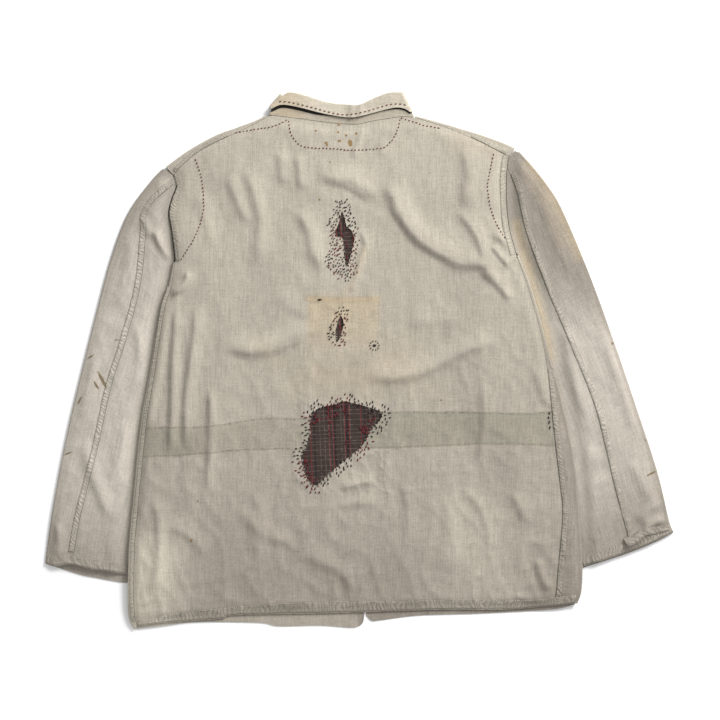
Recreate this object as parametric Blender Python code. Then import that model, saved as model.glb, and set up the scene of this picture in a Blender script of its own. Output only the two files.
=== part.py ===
"""Boro work jacket, laid flat with its back up and its collar towards +Y.

Metres, +Z up. The origin is under the middle of the jacket, on the surface it lies on.
X runs across the back, Y from hem to collar. Each sewn piece is one closed wall of cloth.
The fronts and the undersides of the sleeves rest at z = 0, and the back lies on the fronts.
The sleeves' inner sides lie under the body's side edges, so the body rises over them.
"""

import bmesh
import bpy
import numpy as np

MM = 0.001
WALL = 1.2 * MM  # cloth with its seam allowances and creases
SEAM = 0.4 * MM  # clear space between two pieces at a seam
TUBE = 3.2 * MM  # two layers of cloth with the air between them
FOLD = TUBE / 2  # outer radius where cloth turns back on itself
COLLAR_RISE = WALL + SEAM  # the collar's turned-down leaf lies under the neck
SLEEVE_RISE = TUBE + SEAM  # a whole sleeve lies under the body's side
PUFF = 1.1 * MM  # air under the middle of the back
CROWN = 1.2 * MM  # air in the middle of a sleeve
PUFF_WIDTH = 60 * MM
PATCH_WALL = 1.0 * MM
CROWN_WIDTH = 35 * MM
CROWN_CLEAR = 12 * MM  # how far from the body a sleeve stays level
RISE_FLAT = 24 * MM  # how far past a sleeve the body stays level
RISE_WIDTH = 70 * MM
NECK_MIDDLE = (-28 * MM, 350 * MM)
NECK_REACH = (155 * MM, 90 * MM)
NECK_FADE = 0.9
ARC_STEPS = 3
SPAN_STEPS = 12
MERGE = 1e-6
CUTTER_HEIGHT = 20 * MM  # the tears' cutters stand well above the back
ROUGHNESS = 0.9

# Outlines in millimetres, x across and y up the back. "left" is the side at -X.
SIDE_EDGE = {
    "left": [(-338, -403), (-346, -385), (-347, -340), (-345, -273), (-338, -196), (-328, -97),
             (-315, -22), (-299, 74), (-287, 108), (-279, 147)],
    "right": [(326, -365), (332, -348), (334, -315), (332, -270), (322, -156), (303, -60),
              (285, 5), (276, 42), (257, 110), (238, 157)],
}
SIDE_SEAM = {
    "left": [(-333, -398), (-337, -380), (-338, -340), (-336, -273), (-329, -196), (-319, -97),
             (-307, -22), (-292, 74), (-282, 108), (-276, 147)],
    "right": [(290, -368), (294, -345), (296, -318), (303, -232), (299, -184), (290, -105),
              (281, -15), (271, 42), (252, 109), (235, 157)],
}
ARMHOLE_TOP = {
    "left": [(-276, 147), (-281, 190), (-286, 219), (-282, 240), (-275, 258), (-276, 268), (-279, 277)],
    "right": [(235, 157), (224, 198), (220, 237), (220, 275), (222, 296), (224, 305)],
}
CAP = {
    "left": [(-279, 277), (-285, 282), (-291, 287)],
    "right": [(224, 305), (229, 311), (234, 315)],
}
SHOULDER_EDGE = {
    "left": [(-290, 290), (-255, 315), (-215, 337), (-185, 348), (-158, 358), (-139, 367)],
    "right": [(233, 318), (212, 327), (181, 338), (151, 347), (121, 356), (84, 366)],
}
SHOULDER_SEAM = {
    "left": [(-279, 277), (-266, 291), (-245, 309), (-225, 321), (-192, 337), (-158, 353), (-136, 366)],
    "right": [(224, 305), (203, 315), (180, 327), (151, 340), (119, 352), (81, 364)],
}
BACK_NECK = [(-134, 367), (-94, 362), (-49, 356), (-7, 353), (20, 358), (59, 364), (80, 364)]
BACK_HEM = [(-333, -398), (-288, -393), (-209, -388), (-184, -382), (-35, -379), (121, -374),
            (216, -374), (290, -368)]
FRONT_HEM = {
    "left": [(-338, -403), (-288, -397), (-239, -393), (-150, -394), (-122, -399), (-60, -398),
             (-18, -401), (-3, -400), (5, -394), (7, -385)],
    "right": [(326, -365), (286, -374), (181, -380), (89, -383), (32, -390), (18, -391), (10, -383)],
}
FRONT_EDGE = {"left": [(7, -385), (-24, 298)], "right": [(10, -383), (-20, 298)]}
FRONT_NECK = {
    "left": [(-134, 367), (-124, 335), (-94, 310), (-58, 301), (-24, 299)],
    "right": [(80, 364), (70, 335), (42, 311), (10, 302), (-20, 299)],
}
SLEEVE_EDGE = {
    "left": [(-295, 287), (-312, 269), (-346, 222), (-371, 158), (-393, 77), (-414, -7), (-437, -104),
             (-458, -212), (-469, -285), (-471, -305)],
    "right": [(239, 313), (258, 292), (281, 263), (304, 225), (345, 128), (382, 27), (411, -58),
              (446, -165), (464, -240), (471, -258)],
}
REAR_SEAM = {
    "left": [(-277, 266), (-316, 226), (-320, 188), (-328, 112), (-349, 32), (-372, -41), (-393, -137),
             (-418, -235), (-427, -286), (-432, -306)],
    "right": [(221, 290), (235, 252), (249, 191), (280, 107), (315, 23), (353, -73), (380, -184),
              (401, -262), (409, -285)],
}
INNER_EDGE = {
    "left": [(-277, 147), (-245, 90), (-232, 38), (-254, -60), (-284, -165), (-310, -255), (-320, -332)],
    "right": [(236, 157), (218, 98), (211, 45), (233, -60), (272, -165), (304, -255), (319, -314)],
}
CUFF_TOP = {
    "left": [(-471, -305), (-456, -309), (-432, -306), (-403, -313), (-351, -321), (-320, -332)],
    "right": [(471, -258), (445, -270), (409, -285), (336, -309), (319, -314)],
}
CUFF_UNDER = {
    "left": [(-471, -305), (-422, -321), (-393, -327), (-351, -334), (-320, -332)],
    "right": [(471, -258), (445, -272), (401, -290), (336, -311), (319, -314)],
}
BACK_ROLL = [(-116, 395), (-105, 400), (-81, 395), (-49, 385), (-14, 381), (2, 382), (20, 390),
             (43, 399), (61, 400)]
FRONT_ROLL = {
    "left": [(-116, 395), (-102, 364), (-76, 341), (-50, 332), (-25, 330)],
    "right": [(61, 400), (50, 364), (28, 341), (4, 332), (-19, 330)],
}
BACK_LEAF = [(-132, 376), (-117, 382), (-94, 379), (-49, 368), (-14, 363), (9, 367), (35, 374),
             (55, 378), (68, 376), (76, 371)]
FRONT_LEAF = {
    "left": [(-132, 376), (-133, 350), (-120, 318), (-80, 292), (-29, 284)],
    "right": [(76, 371), (80, 345), (70, 318), (38, 294), (-15, 284)],
}

# Folds of the back and sleeves: their line, height and half width.
BACK_FOLDS = [
    ([(-59, 276), (-23, 273), (1, 258), (31, 240)], 1.8, 12),
    ([(43, 246), (61, 216), (79, 188), (109, 177), (127, 156), (157, 141), (199, 123)], 2.0, 13),
    ([(-179, 294), (-161, 246), (-152, 204), (-155, 162), (-161, 132)], 1.6, 13),
    ([(-203, 15), (-161, 9), (-119, 18), (-89, 42)], 1.7, 15),
    ([(60, -29), (91, -21), (133, 0), (163, 15), (205, 24)], 1.7, 15),
    ([(151, 312), (160, 270), (151, 222)], 1.4, 13),
    ([(-227, -42), (-221, -90), (-224, -180)], 1.2, 12),
    ([(181, -24), (184, -96), (175, -156)], 1.2, 12),
    ([(-89, -294), (-35, -318), (-5, -348)], 1.3, 13),
    ([(-312, -214), (-303, -288), (-312, -350)], 1.2, 12),
]
SLEEVE_FOLDS = [
    ([(-315, 190), (-300, 165), (-290, 148)], 1.5, 13),
    ([(-420, -120), (-395, -200), (-370, -250)], 1.3, 14),
    ([(300, 60), (318, -40), (345, -120)], 1.5, 14),
    ([(325, -195), (350, -165), (362, -130)], 1.5, 13),
    ([(455, -235), (430, -250), (390, -272)], 1.6, 11),
]

# Steps along the edges.
SIDE_ROWS, ARMHOLE_ROWS, CAP_ROWS, SLEEVE_ROWS = 18, 6, 2, 14
SHOULDER_STEPS, NECK_STEPS, FRONT_NECK_STEPS = 6, 10, 5
COLLAR_STEPS = {"left": FRONT_NECK_STEPS, "back": NECK_STEPS, "right": FRONT_NECK_STEPS}
COLLAR_ROWS = 2
RING_STEPS = 24  # along each edge of the rings that heights are worked out from
CUFF_STEPS = 60

# Torn openings in the back, and the low and high corners of the patches under them.
TEARS = {
    "upper_tear": [(-26, 226), (-29, 213), (-31, 202), (-37, 189), (-36, 184), (-26, 179), (-24, 166),
                   (-23, 155), (-20, 140), (-15, 150), (-9, 163), (-7, 172), (-10, 182), (-11, 194),
                   (-19, 200), (-22, 212)],
    "small_tear": [(-28, 68), (-32, 57), (-34, 45), (-34, 29), (-28, 42), (-25, 57)],
    "large_hole": [(-74, -85), (-64, -74), (-51, -69), (-36, -66), (-22, -62), (11, -70), (34, -80),
                   (25, -96), (18, -103), (4, -128), (-19, -148), (-51, -175), (-59, -184), (-69, -188),
                   (-79, -177), (-87, -151), (-85, -140), (-76, -116)],
}
PATCHES = {
    "patch_large": ((-104, -206), (52, -46)),
    "patch_small": ((-52, 12), (-8, 86)),
    "patch_upper": ((-52, 128), (10, 240)),
}

CLOTH = (0.50, 0.47, 0.39)
COLOURS = {
    "back_panel": (0.53, 0.50, 0.42),
    "front_left": CLOTH,
    "front_right": CLOTH,
    "sleeve_left_outer": (0.49, 0.46, 0.39),
    "sleeve_left_inner": (0.47, 0.45, 0.38),
    "sleeve_right_outer": (0.50, 0.46, 0.37),
    "sleeve_right_inner": (0.47, 0.45, 0.38),
    "collar_stand": (0.46, 0.43, 0.35),
    "collar_leaf": (0.50, 0.45, 0.34),
    "patch_large": (0.07, 0.055, 0.05),
    "patch_small": (0.06, 0.05, 0.045),
    "patch_upper": (0.06, 0.05, 0.045),
}


def curve(points, steps):
    """A smooth curve in metres through points in millimetres, at even steps of its length."""
    p = np.array(points, float) * MM
    ends = np.vstack([2 * p[0] - p[1], p, 2 * p[-1] - p[-2]])
    t = np.linspace(0, 1, SPAN_STEPS, endpoint=False)[:, None]
    spans = []
    for a, b, c, d in zip(ends, ends[1:], ends[2:], ends[3:]):
        spans.append(b + 0.5 * t * (c - a + t * (2 * a - 5 * b + 4 * c - d + t * (3 * (b - c) + d - a))))
    dense = np.vstack(spans + [p[-1:]])
    run = np.concatenate([[0], np.cumsum(np.linalg.norm(np.diff(dense, axis=0), axis=1))])
    wanted = np.linspace(0, run[-1], steps + 1)
    return np.column_stack([np.interp(wanted, run, dense[:, k]) for k in (0, 1)])


def joined(*curves):
    """Curves laid end to end as one, each meeting point kept once."""
    return np.vstack([curves[0]] + [c[1:] for c in curves[1:]])


def patch(bottom, top, left, right):
    """A grid of points stretched between four edges. Rows run from bottom to top."""
    u = np.linspace(0, 1, len(bottom))[None, :, None]
    v = np.linspace(0, 1, len(left))[:, None, None]
    rows = (1 - v) * bottom[None] + v * top[None]
    columns = (1 - u) * left[:, None] + u * right[:, None]
    low = (1 - u) * bottom[0] + u * bottom[-1]
    high = (1 - u) * top[0] + u * top[-1]
    return rows + columns - (1 - v) * low - v * high


def smooth(x):
    """A soft step from 0 to 1."""
    x = np.clip(x, 0, 1)
    return x * x * (3 - 2 * x)


def distance(points, line):
    """The distance from each point to a line of points."""
    a, b = line[:-1], line[1:]
    offset = points[..., None, :] - a
    along = np.clip((offset * (b - a)).sum(-1) / ((b - a) ** 2).sum(-1), 0, 1)
    return np.linalg.norm(offset - along[..., None] * (b - a), axis=-1).min(-1)


def inside(points, ring):
    """Whether each point lies inside a closed ring of points."""
    a, b = ring, np.roll(ring, -1, axis=0)
    x, y = points[..., None, 0], points[..., None, 1]
    crosses = (a[:, 1] > y) != (b[:, 1] > y)
    height = np.where(a[:, 1] == b[:, 1], 1, b[:, 1] - a[:, 1])
    at = a[:, 0] + (y - a[:, 1]) / height * (b[:, 0] - a[:, 0])
    return (crosses & (x < at)).sum(-1) % 2 == 1


def normals(line, side):
    """Unit normals of a line of points. Side 1 is to the right of its direction, -1 to the left."""
    along = np.gradient(line, axis=0)
    along /= np.linalg.norm(along, axis=1)[:, None]
    return side * np.column_stack([along[:, 1], -along[:, 0]])


def fold_height(points, folds):
    """The height that a list of folds adds at each point."""
    total = np.zeros(points.shape[:-1])
    for line, height, half_width in folds:
        near = distance(points, np.array(line, float) * MM)
        total = np.maximum(total, height * MM * np.exp(-((near / (half_width * MM)) ** 2)))
    return total


def hidden_sleeve(side):
    """The ring round a sleeve's part that lies under the body, left open wide on its outer side."""
    inner = curve(INNER_EDGE[side], RING_STEPS)
    cuff = np.array(CUFF_TOP[side][0], float) * MM
    return np.vstack([inner, cuff, (cuff[0], inner[0, 1])])


HIDDEN = [hidden_sleeve(side) for side in ("left", "right")]


def body_rise(points):
    """How far the body's layers are lifted, by the sleeves and by the collar's leaf."""
    away = np.full(points.shape[:-1], np.inf)
    for ring in HIDDEN:
        edge = distance(points, np.vstack([ring, ring[:1]]))
        away = np.minimum(away, np.where(inside(points, ring), 0, edge))
    over_sleeve = SLEEVE_RISE * smooth(1 - (away - RISE_FLAT) / RISE_WIDTH)
    out = np.linalg.norm((points - NECK_MIDDLE) / NECK_REACH, axis=-1)
    return over_sleeve + COLLAR_RISE * smooth(1 - (out - 1) / NECK_FADE)


def armhole(side):
    """The seam round an armhole, from the armpit up to the shoulder's edge."""
    return joined(curve(ARMHOLE_TOP[side], ARMHOLE_ROWS), curve(CAP[side], CAP_ROWS))


def body_ring():
    """The body's whole outline."""
    halves = []
    for side in ("left", "right"):
        edge, crest = curve(SIDE_EDGE[side], RING_STEPS), curve(SHOULDER_EDGE[side], RING_STEPS)
        halves.append(np.vstack([edge, armhole(side), crest]))
    neck, hem = curve(BACK_NECK, RING_STEPS), curve(BACK_HEM, RING_STEPS)
    return np.vstack([halves[0], neck, halves[1][::-1], hem[::-1]])


BODY = body_ring()


def back_top(points):
    """The height of the upper surface of the body's top layer."""
    edge = distance(points, np.vstack([BODY, BODY[:1]]))
    edge = np.where(inside(points, BODY), edge, 0)
    loose = smooth(edge / PUFF_WIDTH)
    return TUBE + body_rise(points) + PUFF * loose + fold_height(points, BACK_FOLDS) * loose


def sleeve_top(points, side):
    """The height of the upper surface of a sleeve, which is level where the body lies on it."""
    open_side = np.where(inside(points, BODY), 0, distance(points, BODY))
    edge = distance(points, curve(SLEEVE_EDGE[side], RING_STEPS))
    loose = smooth((edge - 2 * FOLD) / CROWN_WIDTH) * smooth((open_side - CROWN_CLEAR) / CROWN_WIDTH)
    return TUBE + (CROWN + fold_height(points, SLEEVE_FOLDS)) * loose


def level(points, z):
    """Points across with their heights."""
    return np.concatenate([points, np.broadcast_to(z, points.shape[:-1])[..., None]], axis=-1)


def layer_up(points, top, thick=WALL):
    """Outer and inner points of a layer whose outer side faces up."""
    return level(points, top), level(points, top - thick)


def layer_down(points, bottom):
    """Outer and inner points of a layer whose outer side faces down."""
    return level(points, bottom), level(points, bottom + WALL)


def turned_edge(line, outward, bottom):
    """Outer and inner points where cloth turns from its lower layer up to its upper one."""
    angle = np.linspace(-np.pi / 2, np.pi / 2, ARC_STEPS + 1)
    sides = []
    for radius in (FOLD, FOLD - WALL):
        across = line[:, None] + outward[:, None] * (radius * np.cos(angle))[None, :, None]
        z = np.asarray(bottom)[:, None] + FOLD + radius * np.sin(angle)[None]
        sides.append(np.concatenate([across, z[..., None]], axis=-1))
    return sides[0], sides[1]


def material(name):
    """A matt cloth material of its own for one piece."""
    made = bpy.data.materials.new(name)
    made.use_nodes = True
    shader = made.node_tree.nodes["Principled BSDF"]
    shader.inputs["Base Color"].default_value = (*COLOURS[name], 1)
    shader.inputs["Roughness"].default_value = ROUGHNESS
    shader.inputs["Metallic"].default_value = 0.0
    return made


def wall(name, grids):
    """One closed wall of cloth from grids of outer and inner points, joined where they meet."""
    numbers, outer, inner, faces = {}, [], [], []
    for outside, within in grids:
        rows, columns = outside.shape[:2]
        index = np.empty((rows, columns), int)
        for place in np.ndindex(rows, columns):
            key = tuple(np.round(outside[place] / MERGE).astype(int))
            if key not in numbers:
                numbers[key] = len(outer)
                outer.append(outside[place])
                inner.append(within[place])
            index[place] = numbers[key]
        for i, j in np.ndindex(rows - 1, columns - 1):
            a, b, c, d = index[i, j], index[i, j + 1], index[i + 1, j + 1], index[i + 1, j]
            faces += [(a, b, c), (a, c, d)]
    used = {}
    for face in faces:
        for a, b in zip(face, face[1:] + face[:1]):
            used.setdefault(frozenset((a, b)), []).append((a, b))
    shape = bmesh.new()
    low = [shape.verts.new(p) for p in outer]
    high = [shape.verts.new(p) for p in inner]
    for face in faces:
        shape.faces.new([low[k] for k in face])
        shape.faces.new([high[k] for k in reversed(face)])
    for ends in used.values():
        if len(ends) == 1:
            a, b = ends[0]
            shape.faces.new((low[b], low[a], high[a], high[b]))
    bmesh.ops.recalc_face_normals(shape, faces=shape.faces[:])
    if shape.calc_volume(signed=True) < 0:
        bmesh.ops.reverse_faces(shape, faces=shape.faces[:])
    mesh = bpy.data.meshes.new(name)
    shape.to_mesh(mesh)
    shape.free()
    mesh.shade_smooth()
    mesh.materials.append(material(name))
    made = bpy.data.objects.new(name, mesh)
    bpy.context.scene.collection.objects.link(made)
    return made


def back_grid():
    """The back panel's points: hem at the bottom, side seams and armholes, shoulders and neck."""
    edges = {}
    for side in ("left", "right"):
        edges[side] = joined(curve(SIDE_SEAM[side], SIDE_ROWS), curve(ARMHOLE_TOP[side], ARMHOLE_ROWS))
    neck = curve(BACK_NECK, NECK_STEPS)
    neck = neck + SEAM * normals(neck, 1)
    crest = {side: curve(SHOULDER_SEAM[side], SHOULDER_STEPS) for side in edges}
    top = joined(crest["left"][:-1], neck, crest["right"][::-1][1:])
    top[0], top[-1] = edges["left"][-1], edges["right"][-1]
    return patch(curve(BACK_HEM, len(top) - 1), top, edges["left"], edges["right"])


def tear_cutter(name):
    """An upright prism on a torn opening's outline."""
    ring = np.array(TEARS[name], float) * MM
    shape = bmesh.new()
    floor = shape.faces.new([shape.verts.new((x, y, 0)) for x, y in ring])
    made = bmesh.ops.extrude_face_region(shape, geom=[floor])
    raised = [item for item in made["geom"] if isinstance(item, bmesh.types.BMVert)]
    bmesh.ops.translate(shape, verts=raised, vec=(0, 0, CUTTER_HEIGHT))
    bmesh.ops.recalc_face_normals(shape, faces=shape.faces[:])
    mesh = bpy.data.meshes.new(name)
    shape.to_mesh(mesh)
    shape.free()
    cutter = bpy.data.objects.new(name, mesh)
    cutter.hide_render = True
    cutter.display_type = "WIRE"
    bpy.context.scene.collection.objects.link(cutter)
    return cutter


def build_back():
    """The back panel with its three torn openings, and the patches under them."""
    grid = back_grid()
    top = back_top(grid)
    panel = wall("back_panel", [layer_up(grid, top)])
    for name in TEARS:
        cut = panel.modifiers.new(name, "BOOLEAN")
        cut.operation = "DIFFERENCE"
        cut.object = tear_cutter(name)
    middle = grid[len(grid) // 2]
    for name, (low, high) in PATCHES.items():
        columns = span(middle[:, 0], low[0] * MM, high[0] * MM)
        rows = span(grid[:, grid.shape[1] // 2, 1], low[1] * MM, high[1] * MM)
        under = top[rows, columns] - WALL - SEAM
        wall(name, [layer_up(grid[rows, columns], under, PATCH_WALL)])


def span(values, low, high):
    """The slice of rising values that just holds low and high."""
    return slice(np.searchsorted(values, low) - 1, np.searchsorted(values, high) + 1)


def build_front(side):
    """A front, from its centre edge under the body and over the side and shoulder to their seams."""
    turn = 1 if side == "left" else -1
    edge = curve(SIDE_EDGE[side], SIDE_ROWS)
    shoulder = curve(SHOULDER_EDGE[side], SHOULDER_STEPS)
    out = normals(edge, -turn)
    up = normals(shoulder, -turn)
    edge_line = edge - FOLD * out
    shoulder_line = shoulder - FOLD * up
    hole = armhole(side)
    hole[0], hole[-1] = edge_line[-1], shoulder_line[0]
    neck = curve(FRONT_NECK[side], FRONT_NECK_STEPS)
    neck = neck + SEAM * normals(neck, turn)
    neck[0] = shoulder_line[-1]
    sides = joined(edge_line, hole)
    top = joined(shoulder_line, neck)
    hem = curve(FRONT_HEM[side], len(top) - 1)
    hem[0] = edge_line[0]
    centre = curve(FRONT_EDGE[side], len(sides) - 1)
    top[-1] = centre[-1]
    flat = patch(hem, top, sides, centre)
    seam = curve(SIDE_SEAM[side], len(edge) - 1)
    seam = seam + SEAM * normals(seam, -turn)
    crest = curve(SHOULDER_SEAM[side], len(shoulder) - 1)
    crest = crest + SEAM * normals(crest, -turn)
    crest[0] = crest[0] + 2 * SEAM * (crest[1] - crest[0]) / np.linalg.norm(crest[1] - crest[0])
    side_strip = np.linspace(edge_line, seam, 2, axis=1)
    crest_strip = np.linspace(shoulder_line, crest, 2, axis=1)
    wall("front_" + side, [
        layer_down(flat, body_rise(flat)),
        turned_edge(edge_line, out, body_rise(edge_line)),
        turned_edge(shoulder_line, up, body_rise(shoulder_line)),
        layer_up(side_strip, TUBE + body_rise(side_strip)),
        layer_up(crest_strip, TUBE + body_rise(crest_strip)),
    ])


def build_sleeve(side):
    """A sleeve's two panels, joined at the rear seam on top and along the middle underneath."""
    turn = 1 if side == "left" else -1
    edge = curve(SLEEVE_EDGE[side], SLEEVE_ROWS)
    out = normals(edge, turn)
    edge_line = edge - FOLD * out
    inner = curve(INNER_EDGE[side], SLEEVE_ROWS)
    into = normals(inner, -turn)
    inner_line = inner - FOLD * into
    seam = curve(REAR_SEAM[side], SLEEVE_ROWS)
    hole = armhole(side)[::-1]
    hole = hole + 2 * SEAM * normals(hole, turn)
    split = CAP_ROWS + 1
    cuff = curve(CUFF_TOP[side], CUFF_STEPS)
    cut = np.linalg.norm(cuff - seam[-1], axis=1).argmin()
    seam[0], seam[-1] = hole[split], cuff[cut]
    hole[0], hole[-1] = edge_line[0], inner_line[0]
    cuff[0], cuff[-1] = edge_line[-1], inner_line[-1]
    under_cuff = curve(CUFF_UNDER[side], len(hole) - 1)
    under_cuff[0], under_cuff[-1] = edge_line[-1], inner_line[-1]
    under = patch(hole, under_cuff, edge_line, inner_line)
    middle = len(hole) // 2
    gap = SEAM / 2 * normals(seam, turn)
    outer_top = patch(hole[: split + 1], even(cuff[: cut + 1], split), edge_line, seam)
    outer_top[:, -1] += gap
    inner_top = patch(hole[split:], even(cuff[cut:], ARMHOLE_ROWS - 1), seam, inner_line)
    inner_top[:, 0] -= gap
    outer_under = under[:, : middle + 1].copy()
    inner_under = under[:, middle:].copy()
    outer_under[:, -1] += gap
    inner_under[:, 0] -= gap
    floor = np.zeros(SLEEVE_ROWS + 1)
    wall(f"sleeve_{side}_outer", [
        layer_up(outer_top, sleeve_top(outer_top, side)),
        turned_edge(edge_line, out, floor),
        layer_down(outer_under, 0.0),
    ])
    wall(f"sleeve_{side}_inner", [
        layer_up(inner_top, sleeve_top(inner_top, side)),
        turned_edge(inner_line, into, floor),
        layer_down(inner_under, 0.0),
    ])


def even(line, steps):
    """A line of points read again at even steps."""
    return curve(line / MM, steps)


def collar_sections(lower, upper, rows):
    """Middle points of a band round the neck, and the way each of its columns faces.

    The band starts at the left front end, turns at the left of the neck, runs across the back,
    turns at the right and ends at the right front end.
    """
    flats = {}
    for name, steps in COLLAR_STEPS.items():
        low, high = curve(lower[name], steps), curve(upper[name], steps)
        ends = [np.linspace(low[k], high[k], rows + 1) for k in (0, -1)]
        flats[name] = patch(low, high, *ends)
    down, up = np.array((0, 0, -1.0)), np.array((0, 0, 1.0))
    middles = [flats["left"][:, ::-1]]
    facing = [down] * (COLLAR_STEPS["left"] + 1)
    for name, column, turn in (("left", 0, -1), ("right", -1, 1)):
        line = flats["back"][:, column]
        out = np.append(normals(line, turn)[0], 0)
        angles = np.linspace(-np.pi / 2, np.pi / 2, ARC_STEPS + 1)[1:]
        arc = [np.cos(a) * out + np.sin(a) * up for a in angles]
        if name == "left":
            middles += [np.repeat(line[:, None], ARC_STEPS, axis=1), flats["back"][:, 1:]]
            facing += arc + [up] * COLLAR_STEPS["back"]
        else:
            arc = [np.cos(a) * out + np.sin(a) * up for a in angles[:-1]][::-1] + [down]
            middles += [np.repeat(line[:, None], ARC_STEPS, axis=1), flats["right"][:, 1:]]
            facing += arc + [down] * COLLAR_STEPS["right"]
    return np.concatenate(middles, axis=1), np.array(facing)


def band_rise(middles):
    """The way up a band round the neck, at each of its columns."""
    rise = level(middles[-1] - middles[0], 0.0)
    return rise / np.linalg.norm(rise, axis=1)[:, None]


def collar_points(middles, facing, reach, along=0.0):
    """Points at a reach out from the band's middle, moved along the band's own height."""
    return level(middles, COLLAR_RISE + FOLD) + facing[None] * reach + band_rise(middles)[None] * along


def build_stand(neck, roll):
    """The collar's stand, a little short of the roll so that the leaf clears it."""
    middles, facing = collar_sections(neck, roll, COLLAR_ROWS)
    shorter = np.linspace(0, SEAM, len(middles))[:, None, None]
    wall("collar_stand", [tuple(collar_points(middles, facing, r, -shorter) for r in (FOLD, FOLD - WALL))])


def build_leaf(free, roll):
    """The collar's leaf, which rolls over the stand's top and lies down outside it."""
    middles, facing = collar_sections(free, roll, COLLAR_ROWS)
    crest, rise = collar_points(middles, facing, 0)[-1], band_rise(middles)
    radius = (SEAM + 2 * WALL) / 2
    centre = FOLD + SEAM + WALL - radius
    angles = np.linspace(0, np.pi, ARC_STEPS + 1)[1:]
    sides = []
    for r in (radius, radius - WALL):
        flat = collar_points(middles, facing, centre + r)
        arc = [crest + facing * (centre + r * np.cos(a)) + rise * r * np.sin(a) for a in angles]
        sides.append(np.concatenate([flat, np.array(arc)]))
    wall("collar_leaf", [tuple(sides)])


def build_collar():
    """The collar's two pieces, each round the fronts and across the back."""
    roll = {**FRONT_ROLL, "back": BACK_ROLL}
    build_stand({**FRONT_NECK, "back": BACK_NECK}, roll)
    build_leaf({**FRONT_LEAF, "back": BACK_LEAF}, roll)


def main():
    """Clears the scene and builds the jacket."""
    for thing in list(bpy.data.objects):
        bpy.data.objects.remove(thing, do_unlink=True)
    build_back()
    for side in ("left", "right"):
        build_front(side)
        build_sleeve(side)
    build_collar()


main()
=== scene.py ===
"""A patched work jacket laid flat with its back up, made as thin cloth shells on the form of its CAD.

Metres, +Z up. X runs across the back and Y from the hem up to the collar. Lists of points are
in millimetres. The jacket lies on the plane z = 0, its fronts underneath.
"""

import logging
import math
from dataclasses import dataclass, field
from enum import Enum
from typing import Callable

import bpy
import numpy as np
from mathutils.geometry import delaunay_2d_cdt
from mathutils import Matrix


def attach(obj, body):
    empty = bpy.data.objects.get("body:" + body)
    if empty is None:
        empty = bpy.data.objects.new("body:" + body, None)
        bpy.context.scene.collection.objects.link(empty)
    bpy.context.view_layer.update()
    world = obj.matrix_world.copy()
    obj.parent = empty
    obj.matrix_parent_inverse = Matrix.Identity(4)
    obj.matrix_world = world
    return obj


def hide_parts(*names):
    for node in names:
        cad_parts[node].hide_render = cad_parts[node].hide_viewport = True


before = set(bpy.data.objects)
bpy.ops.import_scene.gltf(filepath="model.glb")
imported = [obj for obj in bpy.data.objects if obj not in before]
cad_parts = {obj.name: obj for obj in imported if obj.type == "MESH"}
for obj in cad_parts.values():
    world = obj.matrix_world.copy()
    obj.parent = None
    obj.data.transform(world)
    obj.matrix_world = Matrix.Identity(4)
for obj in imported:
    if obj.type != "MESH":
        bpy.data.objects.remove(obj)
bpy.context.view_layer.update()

LOG = logging.getLogger("jacket")

Line = list[tuple[float, float]]
Colour = tuple[float, float, float]
Array = np.ndarray
Height = Callable[[Array], Array]
Values = dict[str, Array]
Tone = Callable[[Array], Values]

MM = 0.001
WALL = 0.9 * MM  # thickness of one layer of cloth
SEAM = 0.25 * MM  # clear space between two pieces at a seam
TUBE = 5.0 * MM  # the body's two layers with the air between them
FOLD = TUBE / 2  # how far a turned edge swells outwards
HEM_TUBE = 3.0 * MM  # the same two layers where they lie flat at the hem
SLEEVE_TUBE = 4.6 * MM
CUFF_TUBE = 3.4 * MM
SLEEVE_RISE = SLEEVE_TUBE + 0.5 * MM  # a whole sleeve lies under the body's side
COLLAR_AIR = 1.2 * MM  # between the collar's stand and its leaf
COLLAR_RISE = WALL + COLLAR_AIR
PUFF = 1.4 * MM  # air under the middle of the back
CROWN = 1.2 * MM
MOST_RELIEF = 11.5 * MM  # the folds of the back stay under this
MERGE = 1e-5  # points nearer than this are one
CELL_SHIFT = 0.2137  # keeps rows of points off the edges between the cells that merge them
SHARP_ANGLE = 55  # degrees, past which two faces don't blend
SPAN_STEPS = 12  # steps of a smooth curve between two of its points
CHUNK = 8192  # points measured against a line at a time
ARC_STEPS = 8  # steps of a turned edge
NOISE_CELLS = 256
NOISE_SHIFT = (907.31, 713.77)  # keeps the noise's own origin off the jacket
NOISE_GAIN = 1.5  # brings the noise to about -1 to 1


class Side(Enum):
    """Which half of the jacket a piece belongs to, as seen with the back up."""

    LEFT = "left"
    RIGHT = "right"


class ThreadColour(Enum):
    """The threads in the jacket."""

    RED = "red"
    BLACK = "black"
    PALE = "pale"


# ---------------------------------------------------------------- lines and points


def curve(points: Line, steps: int) -> Array:
    """A smooth curve in metres through points in millimetres, at even steps of its length.

    Args:
        points: Points that it runs through.
        steps: How many steps it takes.

    Returns:
        The curve's points.
    """
    p = np.array(points, float) * MM
    ends = np.vstack([2 * p[0] - p[1], p, 2 * p[-1] - p[-2]])
    t = np.linspace(0, 1, SPAN_STEPS, endpoint=False)[:, None]
    spans = []
    for a, b, c, d in zip(ends, ends[1:], ends[2:], ends[3:]):
        spans.append(b + 0.5 * t * (c - a + t * (2 * a - 5 * b + 4 * c - d + t * (3 * (b - c) + d - a))))
    return resample(np.vstack(spans + [p[-1:]]), steps)


def closed_curve(ring: Line, steps: int) -> Array:
    """A smooth curve that ends where it starts."""
    return curve(ring + ring[:1], steps)


def run_along(line: Array) -> Array:
    """How far along a line each of its points lies."""
    return np.concatenate([[0], np.cumsum(np.linalg.norm(np.diff(line, axis=0), axis=1))])


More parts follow.
